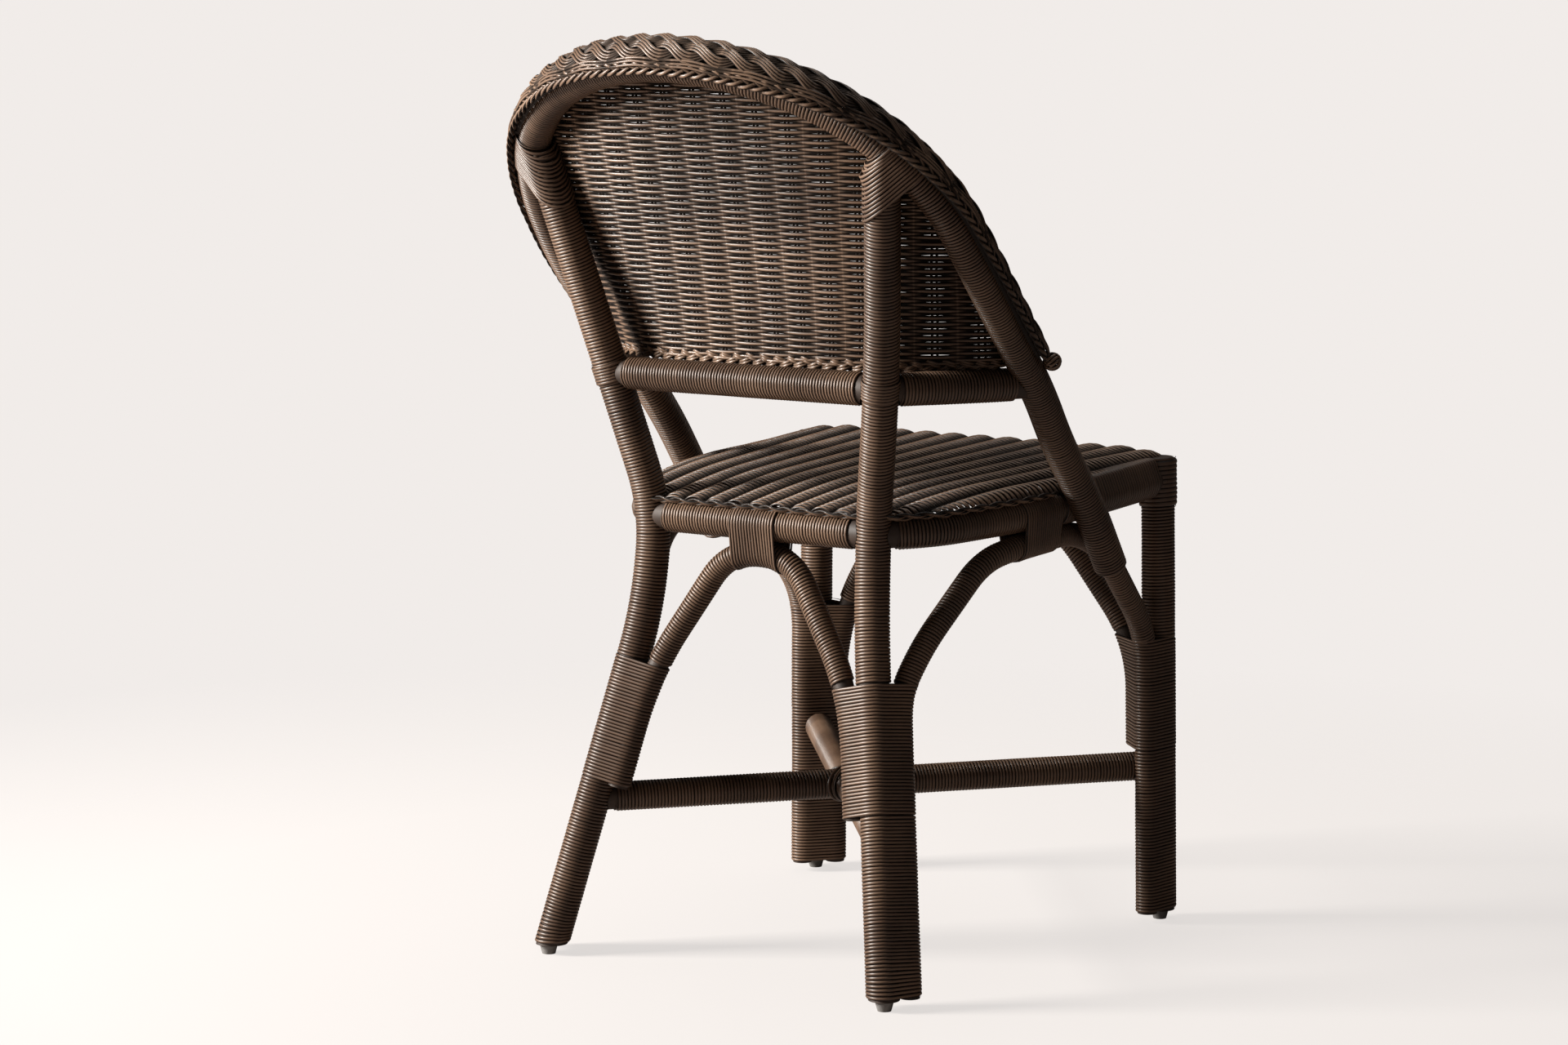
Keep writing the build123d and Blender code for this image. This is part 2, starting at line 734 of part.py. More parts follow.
def panel_point(share, height):
    """A point of the back's middle surface, by its share of the way to the hoop."""
    half_width, hoop_front = hoop_side_at(height)
    rise = (height - panel_foot_height) / (panel_top_height - panel_foot_height)
    centre = panel_foot_front + (panel_crown_front - panel_foot_front) * rise ** panel_lean_power
    bow = abs(share) ** panel_bow_power
    front = centre + (hoop_front + panel_before_hoop - centre) * bow
    return at(share * half_width, front, height)


twine_half = [panel_point(share, panel_foot_height) for share in twine_side_shares]
twine_route = mirrored(twine_half)[::-1] + twine_half[1:]
twine_clear = tube(twine_route, twine_radius + clear)
save(less(tube(twine_route, twine_radius), [hoop_clear]), "back_twine")

heights = spread(panel_foot_height, panel_top_height, panel_rows)
columns = spread(-1, 1, panel_columns)
panel_grid = [[panel_point(share, height) for share in columns] for height in heights]
panel_face = Face.make_surface_from_array_of_points(panel_grid)
hoop_frame = hoop_frames(hoop_half(1))
arch = []
for point, frame in zip(hoop_half(1), hoop_frame):
    inner = point - frame[0] * panel_inside_hoop
    if inner.Z > panel_foot_height:
        arch.append(inner)
arch.append(Vector(arch[-1].X, arch[-1].Y, panel_foot_height))
arch_outline = [Vector(point.X, 0, point.Z) for point in arch + mirrored(arch)[::-1]]
with BuildPart() as panel:
    thicken(to_thicken=panel_face, amount=panel_thick)
    with BuildSketch(Plane.XZ, mode=Mode.PRIVATE) as arch_sketch:
        with BuildLine():
            Polyline(*[(point.X, point.Z) for point in arch_outline], close=True)
        make_face()
    extrude(arch_sketch.sketch, amount=hoop_depth + hoop_low_front, both=True, mode=Mode.INTERSECT)
head_clear = [tube(rear_routes[side], main_wound + clear + binding + clear) for _, side in both_sides]
save(less(panel.part, [hoop_clear, twine_clear] + head_clear), "back_panel")


# Border: a woven roll over the hoop's outer side, with a braid along its rear edge

def border_half(side, reach, turns, foot_share):
    """Points beside one half of the hoop, turned from its rear side outward, down to the border's foot."""
    points = hoop_half(1)
    places = []
    for point, (away, rear), turn in zip(points, hoop_frame, turns):
        place = point + (rear * cos(radians(turn)) + away * sin(radians(turn))) * reach
        places.append(mirror_x(place, side) if place.X else place)
    places[-1] = along(places[-2], places[-1], foot_share)
    return places


def border_line(reach, turn_step, foot_share):
    """The whole line of one roll of the border, turned on from the braid."""
    turns = [turn + turn_step for turn in braid_turns]
    right_half = border_half(-1, reach, turns, foot_share)
    return right_half[::-1] + border_half(1, reach, turns, foot_share)[1:]


save(tube(border_line(braid_bed, 0, border_foot_share), braid_radius), "border_braid")
roll_lines = [border_line(border_bed, step, border_foot_share) for step in border_roll_steps]
save([tube(line, border_roll_radius) for line in roll_lines], "back_border")
knot_line = border_line(knot_bed, knot_turn_step, knot_share)
knots = []
for end in (knot_line[0], knot_line[-1]):
    with BuildPart() as knot:
        with Locations(end):
            Sphere(knot_radius)
    knots.append(knot.part)
save(knots, "border_knots")


# Glides under the legs, each held by a nail

glides = []
nails = []
for foot in feet:
    with BuildPart() as glide:
        with Locations(Vector(foot.X, foot.Y, foot_level / 2)):
            Cone(glide_foot, glide_top, foot_level)
    glides.append(less(glide.part, nail_holes))
    nails.append(nail_shank(foot, nail_radius))
save(glides, "glides")
save(nails, "glide_nails")
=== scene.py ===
import math
import bmesh
import bpy
import numpy as np
from mathutils import Matrix, Vector


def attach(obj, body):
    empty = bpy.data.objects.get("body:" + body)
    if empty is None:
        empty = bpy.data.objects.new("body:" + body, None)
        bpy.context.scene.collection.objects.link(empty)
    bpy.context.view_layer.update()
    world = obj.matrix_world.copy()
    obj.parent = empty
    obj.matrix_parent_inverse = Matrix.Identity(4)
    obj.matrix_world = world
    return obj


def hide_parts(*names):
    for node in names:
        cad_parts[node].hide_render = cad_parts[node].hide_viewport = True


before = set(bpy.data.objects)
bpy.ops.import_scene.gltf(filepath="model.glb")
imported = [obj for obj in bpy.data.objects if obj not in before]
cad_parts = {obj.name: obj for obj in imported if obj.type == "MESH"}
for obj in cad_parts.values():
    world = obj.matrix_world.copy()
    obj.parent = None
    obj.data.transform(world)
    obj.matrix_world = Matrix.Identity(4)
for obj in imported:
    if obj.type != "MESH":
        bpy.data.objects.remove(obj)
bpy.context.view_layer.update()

# Everything is in metres. The chair faces -Y, and its left is the sitter's left, +X.
# "front" says how far a place stands in front of the rear feet, whose own depth is this:
middleDepth = 0.1935
bothSides = (-1, 1)          # the sitter's right and left
sideNames = (("Right", "right", -1), ("Left", "left", 1))


def at(side, front, height):
    return np.array([side, middleDepth - front, height])


def lerp(a, b, share):
    return a + (b - a) * share


def unit(v):
    return v / np.linalg.norm(v)


def flip(points):
    return [p * np.array([-1, 1, 1]) for p in points]


def distances(line):
    # How far along a line each of its points lies
    return np.concatenate([[0], np.cumsum(np.linalg.norm(np.diff(line, axis=0), axis=1))])


def lengthOf(line):
    return np.linalg.norm(np.diff(line, axis=0), axis=1).sum()


def resample(line, run, spots):
    # The places at the spots along a line, whose own points lie at run
    return np.column_stack([np.interp(spots, run, values) for values in np.transpose(line)])


def addObject(name, data):
    made = bpy.data.objects.new(name, data)
    bpy.context.scene.collection.objects.link(made)
    return made


# Camera, at the photograph's viewing angle

cameraView = {
    "azimuth": 35.2138, "elevation": 7.5103, "roll": 0.0435, "distance": 3.9108,
    "lookFront": 0.11596, "lookHeight": 0.41837, "lens": 95.437, "sensor": 36.0, "clipEnd": 50,
}


def makeCamera(view):
    azimuth, elevation, roll = (math.radians(view[key]) for key in ("azimuth", "elevation", "roll"))
    level = math.cos(elevation)
    away = np.array([-math.sin(azimuth) * level, math.cos(azimuth) * level, math.sin(elevation)])
    place = at(0, view["lookFront"], view["lookHeight"]) + view["distance"] * away
    flat = unit(np.cross(-away, [0, 0, 1]))
    plumb = np.cross(flat, -away)
    across = math.cos(roll) * flat + math.sin(roll) * plumb
    upward = math.cos(roll) * plumb - math.sin(roll) * flat
    data = bpy.data.cameras.new("photoCamera")
    data.lens = view["lens"]
    data.sensor_width = view["sensor"]
    data.sensor_fit = "HORIZONTAL"
    data.clip_end = view["clipEnd"]
    camera = addObject("photoCamera", data)
    camera.matrix_world = Matrix([*np.column_stack([across, upward, away, place]).tolist(), [0, 0, 0, 1]])
    bpy.context.scene.camera = camera


makeCamera(cameraView)
print("camera placed")


# Node trees: a thin wrapper that makes a node, sets its fields and joins its sockets

class Graph:
    def __init__(self, tree):
        self.tree = tree

    def feed(self, socket, value):
        if isinstance(value, bpy.types.NodeSocket):
            self.tree.links.new(value, socket)
        else:
            socket.default_value = value

    def add(self, kind, inputs=(), **fields):
        node = self.tree.nodes.new(kind)
        for name, value in fields.items():
            setattr(node, name, value)
        for key, value in dict(inputs).items():
            self.feed(node.inputs[key], value)
        return node

    def calc(self, operation, *values):
        return self.add("ShaderNodeMath", enumerate(values), operation=operation).outputs[0]

    def plus(self, first, *others):
        for other in others:
            first = self.calc("ADD", first, other)
        return first

    def times(self, first, *others):
        for other in others:
            first = self.calc("MULTIPLY", first, other)
        return first

    def minus(self, first, second):
        return self.calc("SUBTRACT", first, second)

    def vec(self, operation, *values):
        node = self.add("ShaderNodeVectorMath", operation=operation)
        slots = (0, 3) if operation == "SCALE" else range(len(values))
        for slot, value in zip(slots, values):
            self.feed(node.inputs[slot], value)
        return node.outputs["Value" if operation == "LENGTH" else "Vector"]

    def xyz(self, x, y, z):
        return self.add("ShaderNodeCombineXYZ", enumerate((x, y, z))).outputs[0]

    def parts(self, vector):
        return self.add("ShaderNodeSeparateXYZ", {0: vector}).outputs

    def noise(self, place, scale, detail, roughness=0.5):
        return self.add("ShaderNodeTexNoise", {"Vector": place, "Scale": scale, "Detail": detail,
                                               "Roughness": roughness}).outputs[0]

    def remap(self, value, low, high, toLow=0.0, toHigh=1.0):
        return self.add("ShaderNodeMapRange", enumerate((value, low, high, toLow, toHigh))).outputs[0]

    def mix(self, share, low, high):
        return self.add("ShaderNodeMix", {0: share, 6: low, 7: high}, data_type="RGBA").outputs[2]

    def attribute(self, name, kind="FLOAT"):
        return self.add("GeometryNodeInputNamedAttribute", {"Name": name}, data_type=kind).outputs[0]

    def store(self, geometry, name, value, kind, domain):
        inputs = {"Geometry": geometry, "Name": name, "Value": value}
        return self.add("GeometryNodeStoreNamedAttribute", inputs, data_type=kind, domain=domain).outputs[0]


def newTree(name, inputs, outputs, kind="GeometryNodeTree"):
    tree = bpy.data.node_groups.new(name, kind)
    for label, socket, value in inputs:
        made = tree.interface.new_socket(label, in_out="INPUT", socket_type="NodeSocket" + socket)
        if value is not None:
            made.default_value = value
    for label, socket in outputs:
        tree.interface.new_socket(label, in_out="OUTPUT", socket_type="NodeSocket" + socket)
    graph = Graph(tree)
    return graph, graph.add("NodeGroupInput").outputs, graph.add("NodeGroupOutput").inputs


# A point on a guide sheet, found by the sheet's guide map, with the sheet's normal and column number there

def makeSheetPoint():
    graph, given, made = newTree(
        "sheetPoint", [("Sheet", "Geometry", None), ("Across", "Float", 0.0), ("Along", "Float", 0.0)],
        [("Place", "Vector"), ("Normal", "Vector"), ("Column", "Float")])
    guide = graph.attribute("guide", "FLOAT_VECTOR")
    spot = graph.xyz(given["Across"], given["Along"], 0.0)

    def sample(value, kind):
        inputs = {"Mesh": given["Sheet"], "Value": value, "UV Map": guide, "Sample UV": spot}
        return graph.add("GeometryNodeSampleUVSurface", inputs, data_type=kind).outputs[0]

    position = graph.add("GeometryNodeInputPosition").outputs[0]
    normal = graph.add("GeometryNodeInputNormal").outputs[0]
    graph.feed(made["Place"], sample(position, "FLOAT_VECTOR"))
    graph.feed(made["Normal"], graph.vec("NORMALIZE", sample(normal, "FLOAT_VECTOR")))
    graph.feed(made["Column"], sample(graph.attribute("column"), "FLOAT"))
    return graph.tree


# The oval skin of a strand round its own line

def makeOvalSkin():
    graph, given, made = newTree(
        "ovalSkin",
        [("Place", "Vector", None), ("Ahead", "Vector", None), ("Normal", "Vector", None),
         ("Around", "Float", 0.0), ("Width", "Float", 0.003), ("Height", "Float", 0.002)],
        [("Point", "Vector")])
    run = graph.vec("NORMALIZE", graph.vec("SUBTRACT", given["Ahead"], given["Place"]))
    across = graph.vec("NORMALIZE", graph.vec("CROSS_PRODUCT", given["Normal"], run))
    angle = graph.times(given["Around"], -math.tau)
    wide = graph.times(graph.calc("COSINE", angle), graph.times(given["Width"], 0.5))
    high = graph.times(graph.calc("SINE", angle), graph.times(given["Height"], 0.5))
    offset = graph.vec("ADD", graph.vec("SCALE", across, wide), graph.vec("SCALE", given["Normal"], high))
    graph.feed(made["Point"], graph.vec("ADD", given["Place"], offset))
    return graph.tree


sheetPoint = makeSheetPoint()
ovalSkin = makeOvalSkin()

# What every tree of strands is given
strandInputs = [("Geometry", "Geometry", None), ("Strands", "Int", 1), ("Steps", "Int", 100),
                ("Ring points", "Int", 8), ("Width", "Float", 0.0034), ("Height", "Float", 0.0019),
                ("Finish", "Material", None), ("Seed", "Float", 0.0), ("End length", "Float", 400.0)]
strands = {"mapMargin": 0.0003, "merge": 0.000004, "wholeTurns": 40.0, "woundDrift": 1.7, "wovenDrift": 5.0,
           "wovenRows": 17.3, "wavingRows": 11.9, "wovenMap": 60.0, "wavingMap": 6.0, "grooveWidth": 1.25}


def sheetPlace(graph, sheet, across, along):
    low, high = strands["mapMargin"], 1 - strands["mapMargin"]
    spot = [graph.calc("MINIMUM", graph.calc("MAXIMUM", value, low), high) for value in (across, along)]
    return graph.add("GeometryNodeGroup", {"Sheet": sheet, "Across": spot[0], "Along": spot[1]},
                     node_tree=sheetPoint).outputs


def raised(graph, found, lift):
    return graph.vec("ADD", found["Place"], graph.vec("SCALE", found["Normal"], lift)), found["Normal"]


def wobble(graph, where, scale):
    # Smooth noise from -0.5 to 0.5 along a number
    inputs = {"W": where, "Scale": scale, "Detail": 1.0}
    return graph.minus(graph.add("ShaderNodeTexNoise", inputs, noise_dimensions="1D").outputs[0], 0.5)


def strandGrid(graph, given):
    # Strands laid out flat as grids: X runs along a strand and Y round it, both from 0 to 1
    base = graph.add("GeometryNodeMeshGrid", {"Size X": 1.0, "Size Y": 1.0, "Vertices X": given["Steps"],
                                              "Vertices Y": given["Ring points"]}).outputs["Mesh"]
    place = graph.vec("ADD", graph.add("GeometryNodeInputPosition").outputs[0], (0.5, 0.5, 0.0))
    base = graph.store(base, "strand", place, "FLOAT_VECTOR", "POINT")
    rows = graph.add("GeometryNodePoints", {"Count": given["Strands"]}).outputs[0]
    rows = graph.store(rows, "row", graph.add("GeometryNodeInputIndex").outputs[0], "FLOAT", "POINT")
    laid = graph.add("GeometryNodeInstanceOnPoints", {"Points": rows, "Instance": base}).outputs[0]
    mesh = graph.add("GeometryNodeRealizeInstances", {"Geometry": laid}).outputs[0]
    along, around, _ = graph.parts(graph.attribute("strand", "FLOAT_VECTOR"))
    return mesh, (along, around, graph.attribute("row"))


def sweep(graph, given, made, mesh, strand, spot, mapAlong, dip=0.0):
    # Draws the strands' skins round the line that spot(t) gives as a place and a normal. dip tells how a
    # strand lies, from 1 on the sheet's outer side to -1 on its inner side, or marks the seat's grooves; the
    # finish paints shade by it on the faces that turn into the weave
    along, around, row = strand
    half = graph.calc("DIVIDE", 0.5, given["Steps"])
    here, normal = spot(along)
    ahead, behind = spot(graph.plus(along, half))[0], spot(graph.minus(along, half))[0]
    run = graph.vec("SUBTRACT", ahead, behind)
    edge = graph.calc("MINIMUM", along, graph.minus(1.0, along))
    size = graph.calc("MINIMUM", graph.times(edge, given["End length"]), 1.0)      # the ends close to a point
    skin = graph.add("GeometryNodeGroup", {
        "Place": here, "Ahead": graph.vec("ADD", here, run), "Normal": normal, "Around": around,
        "Width": graph.times(given["Width"], size), "Height": graph.times(given["Height"], size)},
        node_tree=ovalSkin).outputs[0]
    moved = graph.add("GeometryNodeSetPosition", {"Geometry": mesh, "Position": skin}).outputs[0]
    mapped = graph.store(moved, "strandMap", graph.xyz(mapAlong, around, row), "FLOAT_VECTOR", "CORNER")
    mapped = graph.store(mapped, "strandDip", dip, "FLOAT", "CORNER")
    merged = graph.add("GeometryNodeMergeByDistance", {"Geometry": mapped,
                                                       "Distance": strands["merge"]}).outputs[0]
    smooth = graph.add("GeometryNodeSetShadeSmooth", {"Geometry": merged}).outputs[0]
    real = graph.add("GeometryNodeRealizeInstances", {"Geometry": smooth}).outputs[0]
    done = graph.add("GeometryNodeSetMaterial", {"Geometry": real, "Material": given["Finish"]}).outputs[0]
    graph.feed(made["Geometry"], done)


# Cane wound round a sleeve: one helix on the guide sheet

def makeWoundTree():
    graph, given, made = newTree(
        "woundCane",
        strandInputs + [("Turns", "Float", 40.0), ("Unevenness", "Float", 0.1), ("Lift", "Float", 0.0)],
        [("Geometry", "Geometry")])
    mesh, strand = strandGrid(graph, given)

    def spot(t):
        turn = graph.times(t, given["Turns"])
        around = graph.calc("FRACT", graph.plus(turn, strands["wholeTurns"]))
        drift = wobble(graph, graph.plus(turn, given["Seed"]), strands["woundDrift"])
        drift = graph.calc("DIVIDE", graph.times(drift, given["Unevenness"]), given["Turns"])
        found = sheetPlace(graph, given["Geometry"], around, graph.plus(t, drift))
        return raised(graph, found, given["Lift"])

    sweep(graph, given, made, mesh, strand, spot, graph.times(strand[0], given["Turns"]))
    return graph.tree


# Strands woven across a sheet, over and under its columns, or pressed in between its ridges

def makeWovenTree():
    graph, given, made = newTree(
        "wovenStrands",
        strandInputs + [("Wave", "Float", 0.002), ("Unevenness", "Float", 0.1), ("Slope ease", "Float", 0.0),
                        ("Groove", "Float", 0.0)],
        [("Geometry", "Geometry")])
    mesh, strand = strandGrid(graph, given)
    along, _, row = strand
    rowSeed = graph.plus(graph.times(row, strands["wovenRows"]), given["Seed"])

    def sheetAt(t, drift):
        line = graph.calc("DIVIDE", graph.plus(row, 0.5, drift), given["Strands"])
        found = sheetPlace(graph, given["Geometry"], t, line)
        return found, graph.calc("COSINE", graph.times(graph.plus(found["Column"], row), math.pi))

    def spot(t):
        drift = wobble(graph, graph.plus(graph.times(t, strands["wovenDrift"]), rowSeed), 1.0)
        found, weave = sheetAt(t, graph.times(drift, given["Unevenness"]))
        slope = graph.calc("ABSOLUTE", graph.parts(found["Normal"])[2])
        ease = graph.minus(1.0, graph.times(slope, given["Slope ease"]))
        return raised(graph, found, graph.times(weave, given["Wave"], ease))

    found, weave = sheetAt(along, 0.0)
    # Painted shade in the seat's grooves: with the groove input set, dip marks the grooves between its ridges
    # in place of the over and under weave
    ridge = graph.calc("ABSOLUTE", graph.calc("COSINE", graph.times(found["Column"], math.pi)))
    grooveShadeTerm = graph.calc("MINIMUM", graph.minus(graph.times(ridge, strands["grooveWidth"]), 1.0), 0.0)
    plain = graph.minus(1.0, graph.calc("ABSOLUTE", given["Groove"]))
    dip = graph.plus(graph.times(weave, plain), graph.times(grooveShadeTerm, given["Groove"]))
    sweep(graph, given, made, mesh, strand, spot, graph.times(along, strands["wovenMap"]), dip)
    return graph.tree


# Strands that run along a sheet in waves, as in the border's open work and its braid

def makeWavingTree():
    graph, given, made = newTree(
        "wavingStrands",
        strandInputs + [("Centre", "Float", 0.5), ("Amplitude", "Float", 0.1), ("Spacing", "Float", 0.05),
                        ("Periods", "Float", 10.0), ("Phase", "Float", 0.0), ("Lift", "Float", 0.0),
                        ("Lift wave", "Float", 0.001), ("Lift rate", "Float", 1.0),
                        ("Lift phase", "Float", 0.0), ("Unevenness", "Float", 0.1),
                        ("Dip share", "Float", 0.5)],
        [("Geometry", "Geometry")])
    mesh, strand = strandGrid(graph, given)
    along, _, row = strand
    middle = graph.calc("DIVIDE", graph.minus(given["Strands"], 1.0), 2.0)
    beside = graph.times(graph.minus(row, middle), given["Spacing"])
    rowSeed = graph.plus(graph.times(row, strands["wavingRows"]), given["Seed"])

    def turnAt(t):
        return graph.plus(graph.times(t, given["Periods"], math.tau), given["Phase"])

    def riseAt(turn):
        return graph.calc("SINE", graph.plus(graph.times(turn, given["Lift rate"]), given["Lift phase"]))

    def spot(t):
        turn = turnAt(t)
        drift = wobble(graph, graph.plus(graph.times(t, given["Periods"]), rowSeed), 1.0)
        drift = graph.times(drift, graph.times(given["Unevenness"], given["Spacing"]))
        swing = graph.times(graph.calc("SINE", turn), given["Amplitude"])
        side = graph.plus(given["Centre"], swing, graph.plus(beside, drift))
        found = sheetPlace(graph, given["Geometry"], side, t)
        return raised(graph, found, graph.plus(graph.times(riseAt(turn), given["Lift wave"]), given["Lift"]))

    # The finish paints shade by dip on the faces that turn into the weave
    dip = graph.times(riseAt(turnAt(along)), given["Dip share"])
    mapAlong = graph.times(along, graph.times(given["Periods"], strands["wavingMap"]))
    sweep(graph, given, made, mesh, strand, spot, mapAlong, dip)
    return graph.tree


woundTree = makeWoundTree()
wovenTree = makeWovenTree()
wavingTree = makeWavingTree()


def guideSheet(name, rows, columns=None, even=False):
    # A sheet from rows of points. Its map runs across within a row and along from row to row
    rows = np.array(rows)
    count, width = rows.shape[:2]
    faces = [(i * width + j, i * width + j + 1, (i + 1) * width + j + 1, (i + 1) * width + j)
             for i in range(count - 1) for j in range(width - 1)]
    mesh = bpy.data.meshes.new(name)
    mesh.from_pydata(rows.reshape(-1, 3).tolist(), [], faces)
    run = distances(rows.mean(axis=1))
    v = np.linspace(0, 1, count) if even else run / run[-1]
    guideMap = mesh.uv_layers.new(name="guide")
    for loop in mesh.loops:
        i, j = divmod(loop.vertex_index, width)
        guideMap.data[loop.index].uv = (j / (width - 1), v[i])
    mesh.shade_smooth()
    if columns is not None:
        stored = mesh.attributes.new("column", "FLOAT", "POINT").data
        stored.foreach_set("value", np.ravel(columns).astype("f"))
    return addObject(name, mesh), run[-1]


def bake(guide, name, tree, values):
    # Runs the tree on the guide, keeps the plain mesh it makes and drops the guide
    modifier = guide.modifiers.new("strands", "NODES")
    modifier.node_group = tree
    for item in tree.interface.items_tree:
        if item.item_type == "SOCKET" and item.in_out == "INPUT" and item.name in values:
            modifier[item.identifier] = values[item.name]
    graph = bpy.context.evaluated_depsgraph_get()
    mesh = bpy.data.meshes.new_from_object(guide.evaluated_get(graph))
    bpy.data.objects.remove(guide)
    mesh.name = name
    return addObject(name, mesh)


def join(name, objects):
    mesh = bpy.data.meshes.new(name)
    whole = bmesh.new()
    for piece in objects:
        whole.from_mesh(piece.data)
    whole.to_mesh(mesh)
    whole.free()
    for material in objects[0].data.materials:
        mesh.materials.append(material)
    for piece in objects:
        bpy.data.objects.remove(piece)
    return addObject(name, mesh)


# Routes: straight runs joined by tangent arcs, as the poles are bent

bendShare = 0.45


def smoothRoute(points, spacing=0.004, arcSteps=14):
    points = [np.array(p, float) for p in points]
    line = [points[0]]
    for before, corner, after in zip(points, points[1:], points[2:]):
        back, ahead = before - corner, after - corner
        reach = bendShare * min(np.linalg.norm(back), np.linalg.norm(ahead))
        back, ahead = unit(back), unit(ahead)
        turn = math.pi - math.acos(max(-1, min(1, back @ ahead)))
        if turn < 1e-4:
            continue
        radius = reach / math.tan(turn / 2)
        centre = corner + unit(back + ahead) * math.hypot(radius, reach)
        first, last = corner + back * reach - centre, corner + ahead * reach - centre
        for share in (k / arcSteps for k in range(arcSteps + 1)):
            start, end = math.sin((1 - share) * turn), math.sin(share * turn)
            line.append(centre + (start * first + end * last) / math.sin(turn))
    line.append(points[-1])
    run = distances(line)
    return resample(line, run, np.linspace(0, run[-1], max(2, int(round(run[-1] / spacing)) + 1)))


def clip(line, keep):
    # The stretch of a line where keep(point) holds
    held = [i for i, p in enumerate(line) if keep(p)]
    return line[held[0]:held[-1] + 1]


def distanceTo(line, point):
    return np.linalg.norm(line - point, axis=1).min()


def outside(line, others):
    # The stretch of a line that stays outside other poles, given as (line, radius)
    return clip(line, lambda p: all(distanceTo(other, p) > radius for other, radius in others))


def nearest(line, point):
    return np.linalg.norm(line - point, axis=1).argmin()


def crossFrames(line):
    # A frame at each point, carried along without twist
    runs = np.gradient(line, axis=0)
    runs /= np.linalg.norm(runs, axis=1)[:, None]
    first = unit(np.cross(runs[0], [0, 0, 1] if abs(runs[0][2]) < 0.9 else [0, 1, 0]))
    frames = []
    for run in runs:
        first = unit(first - run * (first @ run))
        frames.append((run, first, np.cross(run, first)))
    return frames


def poleRings(line, radius, points=24):
    angles = np.linspace(0, math.tau, points + 1)
    radii = np.broadcast_to(radius, len(line))
    return [[place + r * (math.cos(a) * first + math.sin(a) * second) for a in angles]
            for place, (run, first, second), r in zip(line, crossFrames(line), radii)]


def poleSection(line, origin, axis):
    # Where a pole crosses a plane, seen from the origin, and the way it runs there
    offset = (line - origin) @ axis
    near = [i for i in range(len(line) - 1) if offset[i] * offset[i + 1] <= 0]
    if near:
        best = min(near, key=lambda i: np.linalg.norm(line[i] - origin))
        gap = offset[best] - offset[best + 1]
        run = unit(line[min(best + 2, len(line) - 1)] - line[max(best - 1, 0)])
        return lerp(line[best], line[best + 1], offset[best] / gap if gap else 0) - origin, run
    best = 0 if abs(offset[0]) < abs(offset[-1]) else -1
    run = unit(line[1] - line[0]) if best == 0 else unit(line[-1] - line[-2])
    return line[best] - run * offset[best] / (run @ axis) - origin, run


hull = {"leastLean": 0.45, "ways": 361, "points": 48, "spacing": 0.006}


def hullRing(origin, axis, poles):
    # The outline of a band drawn tight round poles, given as (line, radius). A slanting pole's section is
    # an ellipse
    first = unit(np.cross(axis, [0, 0, 1] if abs(axis[1]) > 0.9 else [0, 1, 0]))
    second = np.cross(axis, first)
    sections = []
    for line, radius in poles:
        place, run = poleSection(line, origin, axis)
        lean = math.copysign(max(abs(run @ axis), hull["leastLean"]), run @ axis)
        sections.append((place, run, lean, radius))
    edge = []
    for angle in np.linspace(0, math.tau, hull["ways"]):
        way = first * math.cos(angle) + second * math.sin(angle)
        reached = []
        for place, run, lean, radius in sections:
            skew = way - axis * (way @ run) / lean
            foot = unit(skew) * radius
            reach = place @ way + radius * np.linalg.norm(skew)
            reached.append((reach, place + foot - run * (foot @ axis) / lean))
        spot = max(reached, key=lambda pair: pair[0])[1]
        edge.append((spot @ first, spot @ second))
    run = distances(edge)
    even = resample(edge, run, np.linspace(0, run[-1], hull["points"] + 1))
    return [origin + first * x + second * y for x, y in even]


def bandRings(spots, axis, poles, lift):
    grown = [(line, radius + lift) for line, radius in poles]
    return [hullRing(spot, np.array(axis, float), grown) for spot in spots]


def legRings(route, poles, low, high, levelling=0.0):
    # Hull rings square to a leg, from one height to another; near the floor they may level out
    axis = unit(route[1] - route[0])
    rings = []
    for height in np.linspace(low, high, max(2, int((high - low) / hull["spacing"]))):
        share = max(0.0, 1 - (height - low) / levelling) if levelling else 0.0
        rings.append(hullRing(legPoint(route, height), unit(lerp(axis, np.array([0, 0, 1.0]), share)), poles))
    return rings


# Places of the poles, the same as the frame's

legs = {
    "rearFootSide": 0.1934, "rearBend": (0.1291, 0.0728, 0.330), "waist": (0.1243, 0.082, 0.425),
    "rearUpper": (0.1566, 0.0473, 0.575), "rearHead": (0.1919, -0.0059, 0.766),
    "frontFoot": (0.2082, 0.4693), "frontHead": (0.203, 0.463, 0.462), "bare": 0.0146, "floor": 0.0095,
}
hoop = {
    "halfWidth": 0.2367, "low": 0.371, "rise": 0.4813, "lowFront": 0.328, "depth": 0.411, "lean": 40.5,
    "bare": 0.0141, "side": (0, 0.306, 0.590, 0.827, 0.972, 1, 0.996, 0.984, 0.958, 0.974, 0.976),
    "up": (1, 0.983, 0.937, 0.857, 0.742, 0.611, 0.490, 0.378, 0.256, 0.132, 0),
    "back": (1, 0.976, 0.915, 0.828, 0.718, 0.602, 0.471, 0.338, 0.220, 0.102, 0),
}
rails = {
    "crossHeight": 0.5575, "crossSide": 0.1529, "crossFront": 0.0514, "bare": 0.0136,
    "wingSide": (1, 1.12, 1.35, 1.50), "wingFront": (1, 1.54, 2.66, 3.58),
    "backHeight": 0.421, "backSide": 0.1268, "backFront": 0.0788, "rise": 0.019,
    "sideSide": (0.818, 0.901, 0.96, 0.995, 1.007), "sideFront": (0.107, 0.258, 0.368, 0.511, 0.706),
}
